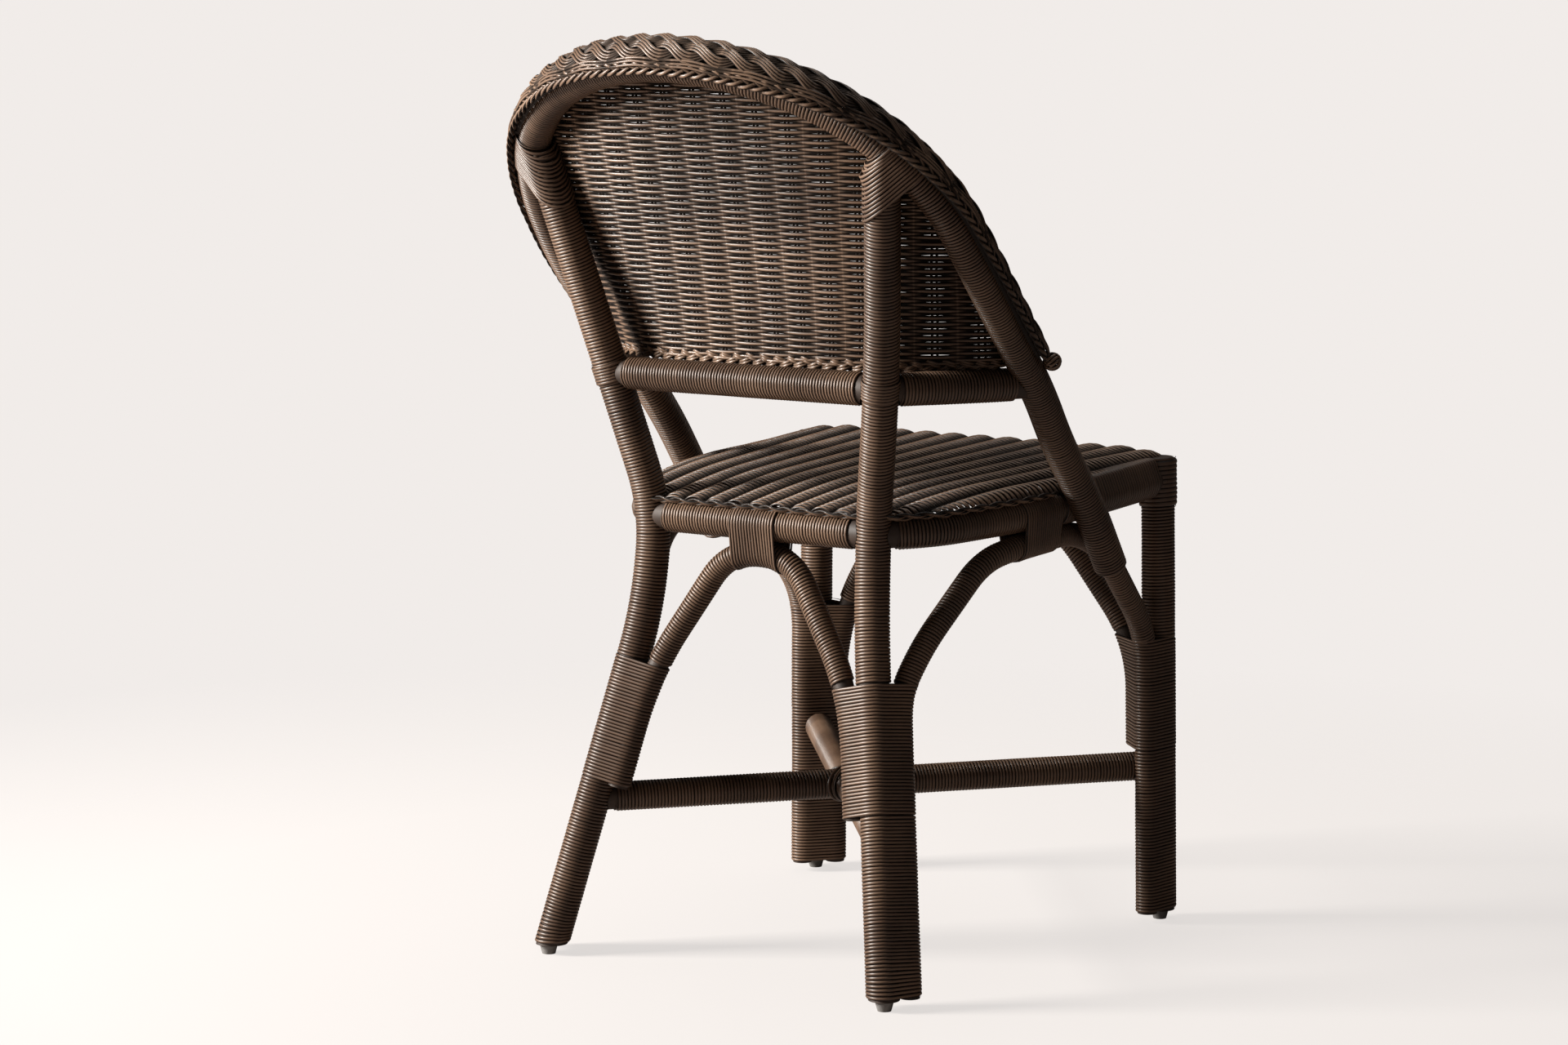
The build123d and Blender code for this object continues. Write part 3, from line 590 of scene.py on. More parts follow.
braces = {
    "bare": 0.0096, "beside": 0.0245, "knee": 0.275, "rearFlat": 0.036, "frontFlat": 0.076, "frontSet": 0.006,
    "side": (0.803, 0.911, 0.975, 0.995, 1.003, 1.005), "front": (0.230, 0.3665, 0.473, 0.65, 0.763, 0.912),
    "up": (0.723, 0.886, 0.911, 0.920, 0.873, 0.695), "under": 0.0273, "rearSlant": 0.75,
    "collarTop": 0.287, "collarLow": 0.166, "frontCollarLow": 0.172,
}
stretchers = {"height": 0.1495, "frontHeight": 0.155, "bare": 0.0123}
cane = 0.0019
seatDepth = legs["frontHead"][1] - rails["backFront"]
frontRailHeight = rails["backHeight"] + rails["rise"]


def rearLeg(side):
    corners = (legs["rearBend"], legs["waist"], legs["rearUpper"], legs["rearHead"])
    return [at(side * legs["rearFootSide"], 0, 0)] + [at(side * x, front, z) for x, front, z in corners]


def frontLeg(side):
    x, front, z = legs["frontHead"]
    return [at(side * legs["frontFoot"][0], legs["frontFoot"][1], 0), at(side * x, front, z)]


def legPoint(route, height):
    return lerp(route[0], route[1], (height - route[0][2]) / (route[1][2] - route[0][2]))


def beside(route, direction):
    axis = unit(route[1] - route[0])
    direction = np.array(direction, float)
    return unit(direction - axis * (direction @ axis)) * braces["beside"]


def hoopHalf(side):
    return [at(side * hoop["halfWidth"] * s, hoop["lowFront"] - hoop["depth"] * b,
               hoop["low"] + hoop["rise"] * u)
            for s, u, b in zip(hoop["side"], hoop["up"], hoop["back"])]


def railHeight(front):
    return rails["backHeight"] + rails["rise"] * (front - rails["backFront"]) / seatDepth


def sideRail(side):
    points = [at(side * rails["backSide"], rails["backFront"], rails["backHeight"])]
    for s, f in zip(rails["sideSide"], rails["sideFront"]):
        front = rails["backFront"] + seatDepth * f
        points.append(at(side * legs["frontHead"][0] * s, front, railHeight(front)))
    return points + [at(side * legs["frontHead"][0], legs["frontHead"][1], frontRailHeight)]


def braceEnds(route, direction, low):
    step = beside(route, direction)
    return [legPoint(route, low) + step, legPoint(route, braces["knee"]) + step]


def rearBraceHalf(side):
    flat = at(side * braces["rearFlat"], rails["backFront"], rails["backHeight"] - braces["under"])
    return braceEnds(rearLeg(side), (-side, 0, 0), braces["collarLow"]) + [flat]


def frontBraceHalf(side):
    front = legs["frontHead"][1] - braces["frontSet"]
    flat = at(side * braces["frontFlat"], front, frontRailHeight - braces["under"])
    return braceEnds(frontLeg(side), (-side, 0, 0), 0 if side > 0 else braces["frontCollarLow"]) + [flat]


def sideBrace(side):
    middle = [at(side * legs["frontHead"][0] * s, legs["frontFoot"][1] * f, frontRailHeight * u)
              for s, f, u in zip(braces["side"], braces["front"], braces["up"])]
    rear = braceEnds(rearLeg(side), (braces["rearSlant"] * side, -1, 0), 0)
    return rear + middle + braceEnds(frontLeg(side), (0, 1, 0), 0)[::-1]


def stretcher(side):
    return [legPoint(rearLeg(side), stretchers["height"]),
            legPoint(frontLeg(-side), stretchers["frontHeight"])]


def wing(side):
    return [at(side * rails["crossSide"] * s, rails["crossFront"] * f, rails["crossHeight"])
            for s, f in zip(rails["wingSide"], rails["wingFront"])]


def straight(side, front, height):
    return smoothRoute([at(s * side, front, height) for s in bothSides])


def perSide(route):
    return {side: smoothRoute(route(side)) for side in bothSides}


hoopLine = smoothRoute(hoopHalf(-1)[::-1] + hoopHalf(1)[1:])
rearLegLines, frontLegLines = perSide(rearLeg), perSide(frontLeg)
sideRailLines, sideBraceLines = perSide(sideRail), perSide(sideBrace)
wingLines, stretcherLines = perSide(wing), perSide(stretcher)
rearBraceLine = smoothRoute(rearBraceHalf(-1) + rearBraceHalf(1)[::-1])
frontBraceLine = smoothRoute(frontBraceHalf(-1) + frontBraceHalf(1)[::-1])
backRailLine = straight(rails["backSide"], rails["backFront"], rails["backHeight"])
frontRailLine = straight(legs["frontHead"][0], legs["frontHead"][1], frontRailHeight)
crossrailLine = straight(rails["crossSide"], rails["crossFront"], rails["crossHeight"])


# Materials

caneLook = {
    "rowShift": 7.31, "acrossScale": 9.0, "singleScale": 0.9, "fineScale": 900.0, "streakTone": 0.40,
    "singleTone": 0.34, "patchTone": 0.26, "dipGain": 8.0, "rough": 0.3, "sunkRough": 0.5,
    "streakRough": 0.24, "patchRough": 0.08, "streakHeight": 0.8, "fineHeight": 0.15, "coatRough": 0.28,
    "relief": 0.0006,
}


def makeCaneGrain(look):
    # Stained cane: streaks along each strand and patches over the whole chair; crests painted paler, partly
    # as wear and partly as highlight, and painted shade on strand flanks and on the faces that turn into the
    # weave
    graph, given, made = newTree(
        "caneGrain",
        [("Dark", "Color", (0.02, 0.012, 0.008, 1)), ("Middle", "Color", (0.08, 0.05, 0.035, 1)),
         ("Pale", "Color", (0.2, 0.15, 0.11, 1)), ("Streak length", "Float", 0.6),
         ("Patch size", "Float", 9.0), ("Wear and highlight", "Float", 0.5), ("Flank shade", "Float", 0.3),
         ("Recess shade", "Float", 0.2)],
        [("Color", "Color"), ("Roughness", "Float"), ("Height", "Float"), ("Gloss", "Float")],
        "ShaderNodeTree")
    strand = graph.add("ShaderNodeAttribute", attribute_name="strandMap").outputs["Vector"]
    along, around, row = graph.parts(strand)
    dip = graph.add("ShaderNodeAttribute", attribute_name="strandDip").outputs["Fac"]
    place = graph.add("ShaderNodeTexCoord").outputs["Object"]
    rowShift = graph.times(row, look["rowShift"])
    stretched = graph.xyz(graph.times(along, given["Streak length"]),
                          graph.times(around, look["acrossScale"]), rowShift)
    streak = graph.noise(stretched, 1.0, 4.0, 0.6)
    single = graph.noise(graph.xyz(graph.times(along, look["singleScale"]), rowShift, 0.0), 1.0, 1.0)
    patch = graph.noise(place, given["Patch size"], 3.0)
    fine = graph.noise(place, look["fineScale"], 2.0)
    tone = graph.plus(graph.times(graph.remap(streak, 0.3, 0.7), look["streakTone"]),
                      graph.times(graph.remap(single, 0.3, 0.7), look["singleTone"]),
                      graph.times(graph.remap(patch, 0.35, 0.65), look["patchTone"]))
    facing = graph.calc("SINE", graph.times(around, -math.tau))
    side = graph.calc("ABSOLUTE", facing)
    # Painted shade: the faces of a woven strand that turn into the weave, as strandDip tells, are darkened
    # towards the recess value and lose their coat gloss; the shade fades where strands cross
    crossed = graph.calc("MINIMUM", graph.times(graph.calc("ABSOLUTE", dip), look["dipGain"]), 1.0)
    recessShade = graph.times(graph.remap(graph.times(dip, facing), 0.45, -0.55), crossed)
    recessShadeScale = graph.remap(recessShade, 0.0, 1.0, 1.0, given["Recess shade"])
    # Crests painted paler in patches, partly as wear and partly as painted highlight
    crest = graph.remap(side, 0.35, 1.0)
    # Painted shade on each strand's flanks, where it meets its neighbours
    flankShade = graph.remap(side, 0.3, 0.96, given["Flank shade"], 1.0)
    wearAndHighlight = graph.times(crest, given["Wear and highlight"], graph.remap(patch, 0.4, 0.62, 0.35, 1.0))
    base = graph.mix(graph.remap(tone, 0.15, 0.85), given["Dark"], given["Middle"])
    wornAndHighlit = graph.mix(wearAndHighlight, base, given["Pale"])
    rough = graph.plus(look["rough"], graph.times(recessShade, look["sunkRough"]),
                       graph.times(streak, look["streakRough"]), graph.times(patch, look["patchRough"]))
    relief = graph.plus(graph.times(streak, look["streakHeight"]), graph.times(fine, look["fineHeight"]))
    graph.feed(made["Color"], graph.vec("SCALE", wornAndHighlit, graph.times(flankShade, recessShadeScale)))
    graph.feed(made["Gloss"], graph.minus(1.0, recessShade))
    graph.feed(made["Roughness"], rough)
    graph.feed(made["Height"], relief)
    return graph.tree


def emptyGraph(owner):
    owner.use_nodes = True
    owner.node_tree.nodes.clear()
    return Graph(owner.node_tree)


caneGrain = makeCaneGrain(caneLook)


def makeFinish(name, values, roughLift=0.0, bump=0.16, coat=0.2, shine=0.4):
    material = bpy.data.materials.new(name)
    graph = emptyGraph(material)
    grain = graph.add("ShaderNodeGroup", values, node_tree=caneGrain).outputs
    relief = graph.add("ShaderNodeBump", {"Strength": bump, "Distance": caneLook["relief"],
                                          "Height": grain["Height"]})
    shader = graph.add("ShaderNodeBsdfPrincipled", {
        "Base Color": grain["Color"], "Specular IOR Level": shine, "Coat Roughness": caneLook["coatRough"],
        "Coat Weight": graph.times(grain["Gloss"], coat),
        "Roughness": graph.plus(grain["Roughness"], roughLift), "Normal": relief.outputs[0]})
    graph.add("ShaderNodeOutputMaterial", {"Surface": shader.outputs[0]})
    return material


# These finishes paint shade on strand flanks and on recessed faces, and paint crests paler, partly as wear
# and partly as highlight
windingCane = makeFinish("windingCane", {
    "Dark": (0.022, 0.010, 0.0052, 1), "Middle": (0.088, 0.043, 0.024, 1), "Pale": (0.26, 0.165, 0.105, 1),
    "Streak length": 0.8, "Patch size": 10.0, "Wear and highlight": 0.6, "Flank shade": 0.10})
weavingReed = makeFinish("weavingReed", {
    "Dark": (0.024, 0.011, 0.0057, 1), "Middle": (0.098, 0.049, 0.028, 1), "Pale": (0.30, 0.195, 0.130, 1),
    "Streak length": 0.35, "Patch size": 8.0, "Wear and highlight": 0.8, "Flank shade": 0.08, "Recess shade": 0.05},
    coat=0.38, shine=0.22)
stakeReed = makeFinish("stakeReed", {
    "Dark": (0.018, 0.010, 0.007, 1), "Middle": (0.06, 0.036, 0.025, 1), "Pale": (0.15, 0.10, 0.075, 1),
    "Streak length": 0.3, "Patch size": 8.0, "Wear and highlight": 0.4}, roughLift=0.2, bump=0.3, coat=0.05, shine=0.25)


def makeSolidFinish(name, dark, pale, rough, scale, metallic=0.0, bump=0.15):
    material = bpy.data.materials.new(name)
    graph = emptyGraph(material)
    noise = graph.noise(graph.add("ShaderNodeTexCoord").outputs["Object"], scale, 5.0, 0.6)
    relief = graph.add("ShaderNodeBump", {"Strength": bump, "Distance": 0.0008, "Height": noise})
    shader = graph.add("ShaderNodeBsdfPrincipled", {
        "Base Color": graph.mix(graph.remap(noise, 0.3, 0.7), dark, pale), "Metallic": metallic,
        "Roughness": graph.remap(noise, 0.2, 0.8, rough - 0.08, rough + 0.1), "Normal": relief.outputs[0]})
    graph.add("ShaderNodeOutputMaterial", {"Surface": shader.outputs[0]})
    return material


poleBark = makeSolidFinish("poleBark", (0.016, 0.009, 0.006, 1), (0.05, 0.029, 0.019, 1), 0.6, 60.0)
glidePlastic = makeSolidFinish("glidePlastic", (0.16, 0.155, 0.15, 1), (0.24, 0.235, 0.23, 1), 0.55, 240.0,
                               bump=0.08)
fixingSteel = makeSolidFinish("fixingSteel", (0.35, 0.35, 0.36, 1), (0.55, 0.55, 0.56, 1), 0.35, 300.0,
                              metallic=1.0)
print("materials made")


# Windings of the poles. "centre" is the height of the cane's own line over a bare pole

wound = {"pitch": 0.00325, "width": 0.0033, "height": 0.0026, "stepsPerTurn": 18, "unevenness": 0.22,
         "centre": 0.0009, "ringPoints": 8, "closingTurns": 2.0, "seedStep": 13.7}
poleSteps = {"hoop": 16, "leg": 18, "brace": 14, "rail": 16, "stretcher": 16}
poleCentre = {kind: values["bare"] + wound["centre"] for kind, values in (
    ("hoop", hoop), ("leg", legs), ("brace", braces), ("rail", rails), ("stretcher", stretchers))}
clearance = {"rail": 0.0165, "crossrail": 0.0166, "hoop": 0.0160, "stretcher": 0.019,
             "insideCollar": 0.006, "overCollar": 0.001}
pieces = []          # (object, CAD nodes that it stands for, slot)
windings = []


def wind(name, rings, finish, pitch=wound["pitch"], steps=wound["stepsPerTurn"], **extra):
    # Winds cane over the rings, unevenly in its own way each time
    guide, length = guideSheet(name + "Guide", rings)
    turns = max(1.0, length / pitch)
    values = {"Turns": turns, "Steps": int(turns * steps), "Ring points": wound["ringPoints"],
              "Width": wound["width"], "Height": wound["height"], "Unevenness": wound["unevenness"],
              "Finish": finish, "Seed": wound["seedStep"] * len(windings),
              "End length": turns * wound["closingTurns"]}
    values.update(extra)
    windings.append(name)
    return bake(guide, name, woundTree, values)


def windPole(name, line, kind, node):
    piece = wind(name, poleRings(line, poleCentre[kind]), windingCane, steps=poleSteps[kind])
    pieces.append((piece, [node + "_winding"], "cane_winding"))


def above(route, height):
    # A test whether a point lies above a height of a leg, measured along the leg
    origin, axis = legPoint(route, height), unit(route[1] - route[0])
    return lambda p: (p - origin) @ axis > 0


def held(lines, reach):
    return [(line, reach) for line in lines]


windPole("hoopWinding", hoopLine, "hoop", "back_hoop")
for word, node, side in sideNames:
    rear, front = rearLegLines[side], frontLegLines[side]
    overRear, overFront = (above(route, braces["collarTop"] - clearance["insideCollar"])
                           for route in (rearLeg(side), frontLeg(side)))
    windPole(f"rear{word}LegWinding", clip(rear, overRear), "leg", f"rear_{node}_leg")
    windPole(f"front{word}LegWinding", clip(front, overFront), "leg", f"front_{node}_leg")
    braceLine = clip(sideBraceLines[side], lambda p: overRear(p) and overFront(p))
    windPole(f"{node}BraceWinding", braceLine, "brace", f"{node}_brace")
    railLine = outside(sideRailLines[side], held((rear, front), clearance["rail"]))
    windPole(f"seat{word}RailWinding", railLine, "rail", f"seat_{node}_rail")
    wingLine = outside(wingLines[side], [(rear, clearance["crossrail"]), (hoopLine, clearance["hoop"])])
    windPole(f"crossrail{word}WingWinding", wingLine, "rail", f"crossrail_{node}_wing")
    stretcherLine = outside(stretcherLines[side], held((rear, frontLegLines[-side]), clearance["stretcher"]))
    windPole(f"rear{word}StretcherWinding", stretcherLine, "stretcher", f"rear_{node}_stretcher")

for end, leg, line in (("rear", rearLeg, rearBraceLine), ("front", frontLeg, frontBraceLine)):
    tests = [above(leg(side), braces["collarTop"] + clearance["overCollar"]) for side in bothSides]
    freeLine = clip(line, lambda p: all(test(p) for test in tests))
    windPole(f"{end}BraceWinding", freeLine, "brace", f"{end}_brace")
for name, line, lines, reach, node in (
        ("backRailWinding", backRailLine, rearLegLines, "rail", "seat_back_rail"),
        ("frontRailWinding", frontRailLine, frontLegLines, "rail", "seat_front_rail"),
        ("crossrailWinding", crossrailLine, rearLegLines, "crossrail", "crossrail")):
    windPole(name, outside(line, held(lines.values(), clearance[reach])), "rail", node)
print("poles wound", sum(len(piece.data.polygons) for piece, _, _ in pieces))


# Collars and foot windings, drawn round a leg and the braces beside it

collarShape = {"inset": 0.002, "steps": 34, "lift": 0.0003, "footSteps": 28, "floorGap": 0.0014,
               "footOver": 0.004, "levelling": 0.03}
collars = {"rear": [], "front": []}
feet = {"rear": [], "front": []}
for word, node, side in sideNames:
    for end, route, line, brace, low in (
            ("rear", rearLeg(side), rearLegLines[side], rearBraceLine, braces["collarLow"]),
            ("front", frontLeg(side), frontLegLines[side], frontBraceLine, braces["frontCollarLow"])):
        poles = [(line, poleCentre["leg"])] + held((sideBraceLines[side], brace), poleCentre["brace"])
        rings = legRings(route, poles, low + collarShape["inset"], braces["collarTop"] - collarShape["inset"])
        collars[end].append(wind(f"{end}{word}Collar", rings, windingCane, steps=collarShape["steps"],
                                 Lift=collarShape["lift"]))
        footPoles = poles if end == "front" and side > 0 else poles[:2]
        rings = legRings(route, footPoles, legs["floor"] + collarShape["floorGap"],
                         low + collarShape["footOver"], collarShape["levelling"])
        feet[end].append(wind(f"{end}{word}FootWinding", rings, windingCane, steps=collarShape["footSteps"]))
for end in ("rear", "front"):
    pieces.append((join(f"{end}Collars", collars[end]), [f"{end}_collars"], "cane_winding"))
pieces.append((join("rearFootWindings", feet["rear"]), ["rear_foot_windings"], "cane_winding"))
for (word, node, side), piece in zip(sideNames, feet["front"]):
    pieces.append((piece, [f"front_{node}_foot_winding"], "cane_winding"))
print("collars wound")


# Strands of the woven parts

reedLook = {"ringPoints": 6, "stakeHalf": 0.001, "stakeEnds": 60.0, "stakeSeed": 5.1, "wavingEnds": 0.4}
twined = {"pairs": 3, "ends": 60.0, "swing": 0.27, "spacing": 0.2, "liftRate": 2.0, "unevenness": 0.4}


def reedValues(count, steps, size, ends, seed, finish=weavingReed, **more):
    return {"Strands": count, "Steps": steps, "Ring points": reedLook["ringPoints"], "Width": size[0],
            "Height": size[1], "End length": ends, "Seed": seed, "Finish": finish, **more}


def strandsAlong(name, lines, size, finish, steps=60):
    # One strand along each line of points, such as a stake
    made = []
    for i, line in enumerate(lines):
        line = np.array(line)
        frames = crossFrames(line)
        ribbon = [[p + way * reedLook["stakeHalf"] * second for p, (_, _, second) in zip(line, frames)]
                  for way in (-1, 1)]
        guide, _ = guideSheet(f"{name}Guide{i}", ribbon, even=True)
        made.append(bake(guide, f"{name}{i}", wovenTree, reedValues(
            1, steps, size, reedLook["stakeEnds"], i * reedLook["stakeSeed"], finish, Wave=0.0,
            Unevenness=0.0)))
    return join(name, made)


def twinedEdge(name, part, rows, look):
    # Pairs of strands twined along a strip
    periods = lengthOf([row[len(row) // 2] for row in rows]) / look["length"]
    ropes = []
    for turn in range(twined["pairs"]):
        guide, _ = guideSheet(f"{part}Guide{turn}", rows)
        values = reedValues(2, int(periods * look["steps"]), look["reed"], twined["ends"],
                            look["seed"] + turn)
        values.update({"Centre": 0.5, "Amplitude": twined["swing"], "Spacing": twined["spacing"],
                       "Periods": periods, "Phase": turn * math.tau / twined["pairs"],
                       "Lift wave": look["rise"], "Lift rate": twined["liftRate"],
                       "Unevenness": twined["unevenness"]})
        ropes.append(bake(guide, f"{part}Strand{turn}", wavingTree, values))
    return join(name, ropes)


# Woven back panel

panel = {
    "low": 0.5750, "topHeight": 0.848, "footHeight": 0.578, "footFront": 0.061, "crownFront": -0.057,
    "leanPower": 1.12, "bowPower": 4.1, "beforeHoop": 0.020, "insideHoop": 0.0055, "thick": 0.0021,
    "columnPitch": 0.0295, "columnSlant": -0.048, "columnFan": 0.12, "rowPitch": 0.00313, "rows": 120,
    "points": 90, "archMargin": 0.01, "topMargin": 0.002, "weaver": (0.0037, 0.0050), "wave": 0.00125,
    "slopeEase": 0.6, "unevenness": 0.22, "steps": 190, "ends": 90.0, "seed": 3.0,
    "stake": (0.0030, 0.0024), "stakeSpread": 0.0037, "stakeReach": 10, "stakeUnder": 0.004,
    "stakeMargin": 0.001, "leastPoints": 12,
}
halfPoints = hoopHalf(1)


def hoopSideAt(height):
    side, back, heights = np.transpose(halfPoints[::-1])
    return np.interp(height, heights, side), middleDepth - np.interp(height, heights, back)


def panelShare(height):
    return (height - panel["footHeight"]) / (panel["topHeight"] - panel["footHeight"])


def panelPlace(side, height):
    halfWidth, hoopFront = hoopSideAt(height)
    rise = max(0.0, panelShare(height))
    centre = panel["footFront"] + (panel["crownFront"] - panel["footFront"]) * rise ** panel["leanPower"]
    bow = min(1.0, abs(side) / halfWidth) ** panel["bowPower"]
    return at(side, centre + (hoopFront + panel["beforeHoop"] - centre) * bow + panel["thick"], height)


def hoopFrames(points):
    # The outward and the rearward direction at each corner point of half the hoop
    lean = math.radians(hoop["lean"])
    facing = np.array([0, math.cos(lean), -math.sin(lean)])
    frames = []
    for i in range(len(points)):
        run = unit(points[min(i + 1, len(points) - 1)] - points[max(i - 1, 0)])
        rear = unit(facing - run * (facing @ run))
        frames.append((np.cross(run, rear), rear))
    return frames


halfFrames = hoopFrames(halfPoints)
arch = smoothRoute([p - away * panel["insideHoop"] for p, (away, _) in zip(halfPoints, halfFrames)])
arch = arch[arch[:, 2] > panel["low"] - panel["archMargin"]]
arch = arch[np.argsort(arch[:, 2])]
archTop = arch[-1, 2]


def panelEdge(height):
    return np.interp(height, arch[:, 2], arch[:, 0])


def columnPlace(column, height):
    # The stakes spread and lean a little as they rise, as the photograph shows
    share = panelShare(height)
    return panel["columnSlant"] * share + column * panel["columnPitch"] * (1 + panel["columnFan"] * share)


rows, columns = [], []
for height in np.linspace(panel["low"], archTop - panel["topMargin"], panel["rows"]):
    edge = panelEdge(height)
    spots = np.linspace(-edge, edge, panel["points"])
    rows.append([panelPlace(x, height) for x in spots])
    first, second = columnPlace(0, height), columnPlace(1, height)
    columns.append((spots - first) / (second - first))
guide, _ = guideSheet("panelGuide", rows, columns, even=True)
weaverCount = int((archTop - panel["low"]) / panel["rowPitch"])
values = reedValues(weaverCount, panel["steps"], panel["weaver"], panel["ends"], panel["seed"],
                    Wave=panel["wave"], Unevenness=panel["unevenness"])
values["Slope ease"] = panel["slopeEase"]
panelWeavers = bake(guide, "panelWeavers", wovenTree, values)
print("panel woven", len(panelWeavers.data.polygons))

stakeRows = []
heights = np.linspace(panel["low"] - panel["stakeUnder"], archTop, panel["points"])
for column in range(-panel["stakeReach"], panel["stakeReach"] + 1):
    for step in (-0.5, 0.5):
        spots = [(columnPlace(column, h) + step * panel["stakeSpread"], h) for h in heights]
        spots = [(x, h) for x, h in spots if abs(x) < panelEdge(h) - panel["stakeMargin"]]
        if len(spots) > panel["leastPoints"]:
            stakeRows.append([panelPlace(x, h) for x, h in spots])
panelStakes = strandsAlong("panelStakes", stakeRows, panel["stake"], stakeReed)
pieces += [(panelWeavers, ["back_panel"], "woven_cane"), (panelStakes, ["back_panel"], "woven_cane")]
print("panel stakes set", len(panelStakes.data.polygons))


# Woven seat

seat = {
    "sideLap": 0.010, "frontLap": 0.013, "backLap": 0.008, "thick": 0.006, "ridges": 6.5,
    "backSpread": 1.15, "over": 0.0150, "ridge": 0.0058, "ridgePower": 0.75, "dip": 0.004,
    "dipZone": (0.93, 0.07), "swell": 0.0085, "swellRise": 0.35, "sideZone": (0.8, 0.2),
    "frontZone": (0.94, 0.06), "rows": 100, "points": 190, "rowPitch": 0.0032, "steps": 150,
    "weaver": (0.0037, 0.0028), "wave": 0.0008, "unevenness": 0.6, "ends": 300.0, "seed": 77.0,
    "rib": (0.0046, 0.0032), "ribReach": 6, "ribInset": 0.002, "ribMargin": 0.004, "ribUnder": 0.0024,
    "ribPoints": 60, "ribSteps": 40,
}
outline = [(rails["backSide"] + seat["sideLap"], rails["backFront"] - seat["backLap"])]
outline += [(p[0] + seat["sideLap"], middleDepth - p[1]) for p in sideRail(1)[1:-1]]
outline.append((legs["frontHead"][0] + seat["sideLap"], legs["frontHead"][1] + seat["frontLap"]))
outlineSide, outlineFront = zip(*outline)


def seatEdge(front):
    return float(np.interp(front, outlineFront, outlineSide))


def seatShare(front):
    return (front - outlineFront[0]) / (outlineFront[-1] - outlineFront[0])


def ridgePitch(front):
    # The ridges fan out a little from the back edge to the front edge
    return lerp(outlineSide[0] * seat["backSpread"], outlineSide[-1], seatShare(front)) / seat["ridges"]


def beyond(value, start, reach):
    return max(0.0, (value - start) / reach)


def seatPlace(side, front):
    off, share = abs(side) / seatEdge(front), seatShare(front)
    dip = seat["dip"] * beyond(off, *seat["dipZone"]) ** 2
    ridge = seat["ridge"] * abs(math.cos(math.pi * side / ridgePitch(front))) ** seat["ridgePower"]
    swell = math.sin(min(1.0, share / seat["swellRise"]) * math.pi / 2)
    swell *= 1 - beyond(off, *seat["sideZone"]) ** 2
    rolled = 1 - math.sqrt(max(0.0, 1 - beyond(share, *seat["frontZone"]) ** 2))
    return at(side, front, railHeight(front) + seat["over"] + ridge - dip + seat["swell"] * (swell - rolled))


rows, columns, ribs = [], [], []
for front in np.linspace(outlineFront[0], outlineFront[-1], seat["rows"]):
    spots = np.linspace(-seatEdge(front), seatEdge(front), seat["points"])
    rows.append([seatPlace(x, front) for x in spots])
    columns.append(spots / ridgePitch(front))
guide, length = guideSheet("seatGuide", rows, columns, even=True)
seatWeavers = bake(guide, "seatWeavers", wovenTree, reedValues(
    int(length / seat["rowPitch"]), seat["steps"], seat["weaver"], seat["ends"], seat["seed"],
    Wave=seat["wave"], Unevenness=seat["unevenness"], Groove=-1.0))
fronts = np.linspace(outlineFront[0] + seat["ribInset"], outlineFront[-1] - seat["ribInset"],
                     seat["ribPoints"])
for k in range(-seat["ribReach"], seat["ribReach"] + 1):
    spots = [(k * ridgePitch(f), f) for f in fronts
             if abs(k) * ridgePitch(f) < seatEdge(f) - seat["ribMargin"]]
    ribs.append([seatPlace(x, f) - np.array([0, 0, seat["ribUnder"]]) for x, f in spots])
seatRibs = strandsAlong("seatRibs", ribs, seat["rib"], stakeReed, seat["ribSteps"])

# Twined edge of the seat, over the rails at the back and the sides
fringe = {"half": 0.0056, "wide": 0.9, "tall": 0.55, "lift": 0.0010, "out": 0.0010, "inset": 0.004,
          "sideEnd": 0.475, "length": 0.062, "reed": (0.0027, 0.0024), "rise": 0.0015, "steps": 14,
          "seed": 400.0, "sidePoints": 50, "backPoints": 24, "pointStep": 0.005, "arcSteps": 3}
across = (-1, -0.5, 0, 0.5, 1)
edgeLine = []
for front in np.linspace(seatDepth * fringe["sideEnd"] + rails["backFront"],
                         outlineFront[0] + fringe["inset"], fringe["sidePoints"]):
    height = railHeight(front) + seat["over"] + fringe["lift"]
    edgeLine.append(at(seatEdge(front) + fringe["out"], front, height))
height = rails["backHeight"] + seat["over"] + fringe["lift"]
edgeLine += [at(x, outlineFront[0] - fringe["out"], height)
             for x in np.linspace(outlineSide[0] - fringe["inset"], 0, fringe["backPoints"])]
edgeLine = smoothRoute(flip(edgeLine) + edgeLine[::-1][1:], fringe["pointStep"], fringe["arcSteps"])
fringeRows = []
for place, (run, _, _) in zip(edgeLine, crossFrames(edgeLine)):
    step = np.array([0, 0, fringe["tall"]]) - unit(np.cross(run, [0, 0, 1])) * fringe["wide"]
    fringeRows.append([place + step * s * fringe["half"] for s in across])
seatFringe = twinedEdge("seatFringe", "fringe", fringeRows, fringe)
pieces += [(seatFringe, ["seat_weave"], "woven_cane"), (seatWeavers, ["seat_weave"], "woven_cane"),
           (seatRibs, ["seat_weave"], "woven_cane")]
print("seat woven", len(seatWeavers.data.polygons))


# Border: bundles of reed in crossing waves over the hoop's outer side, a straight band and a braid

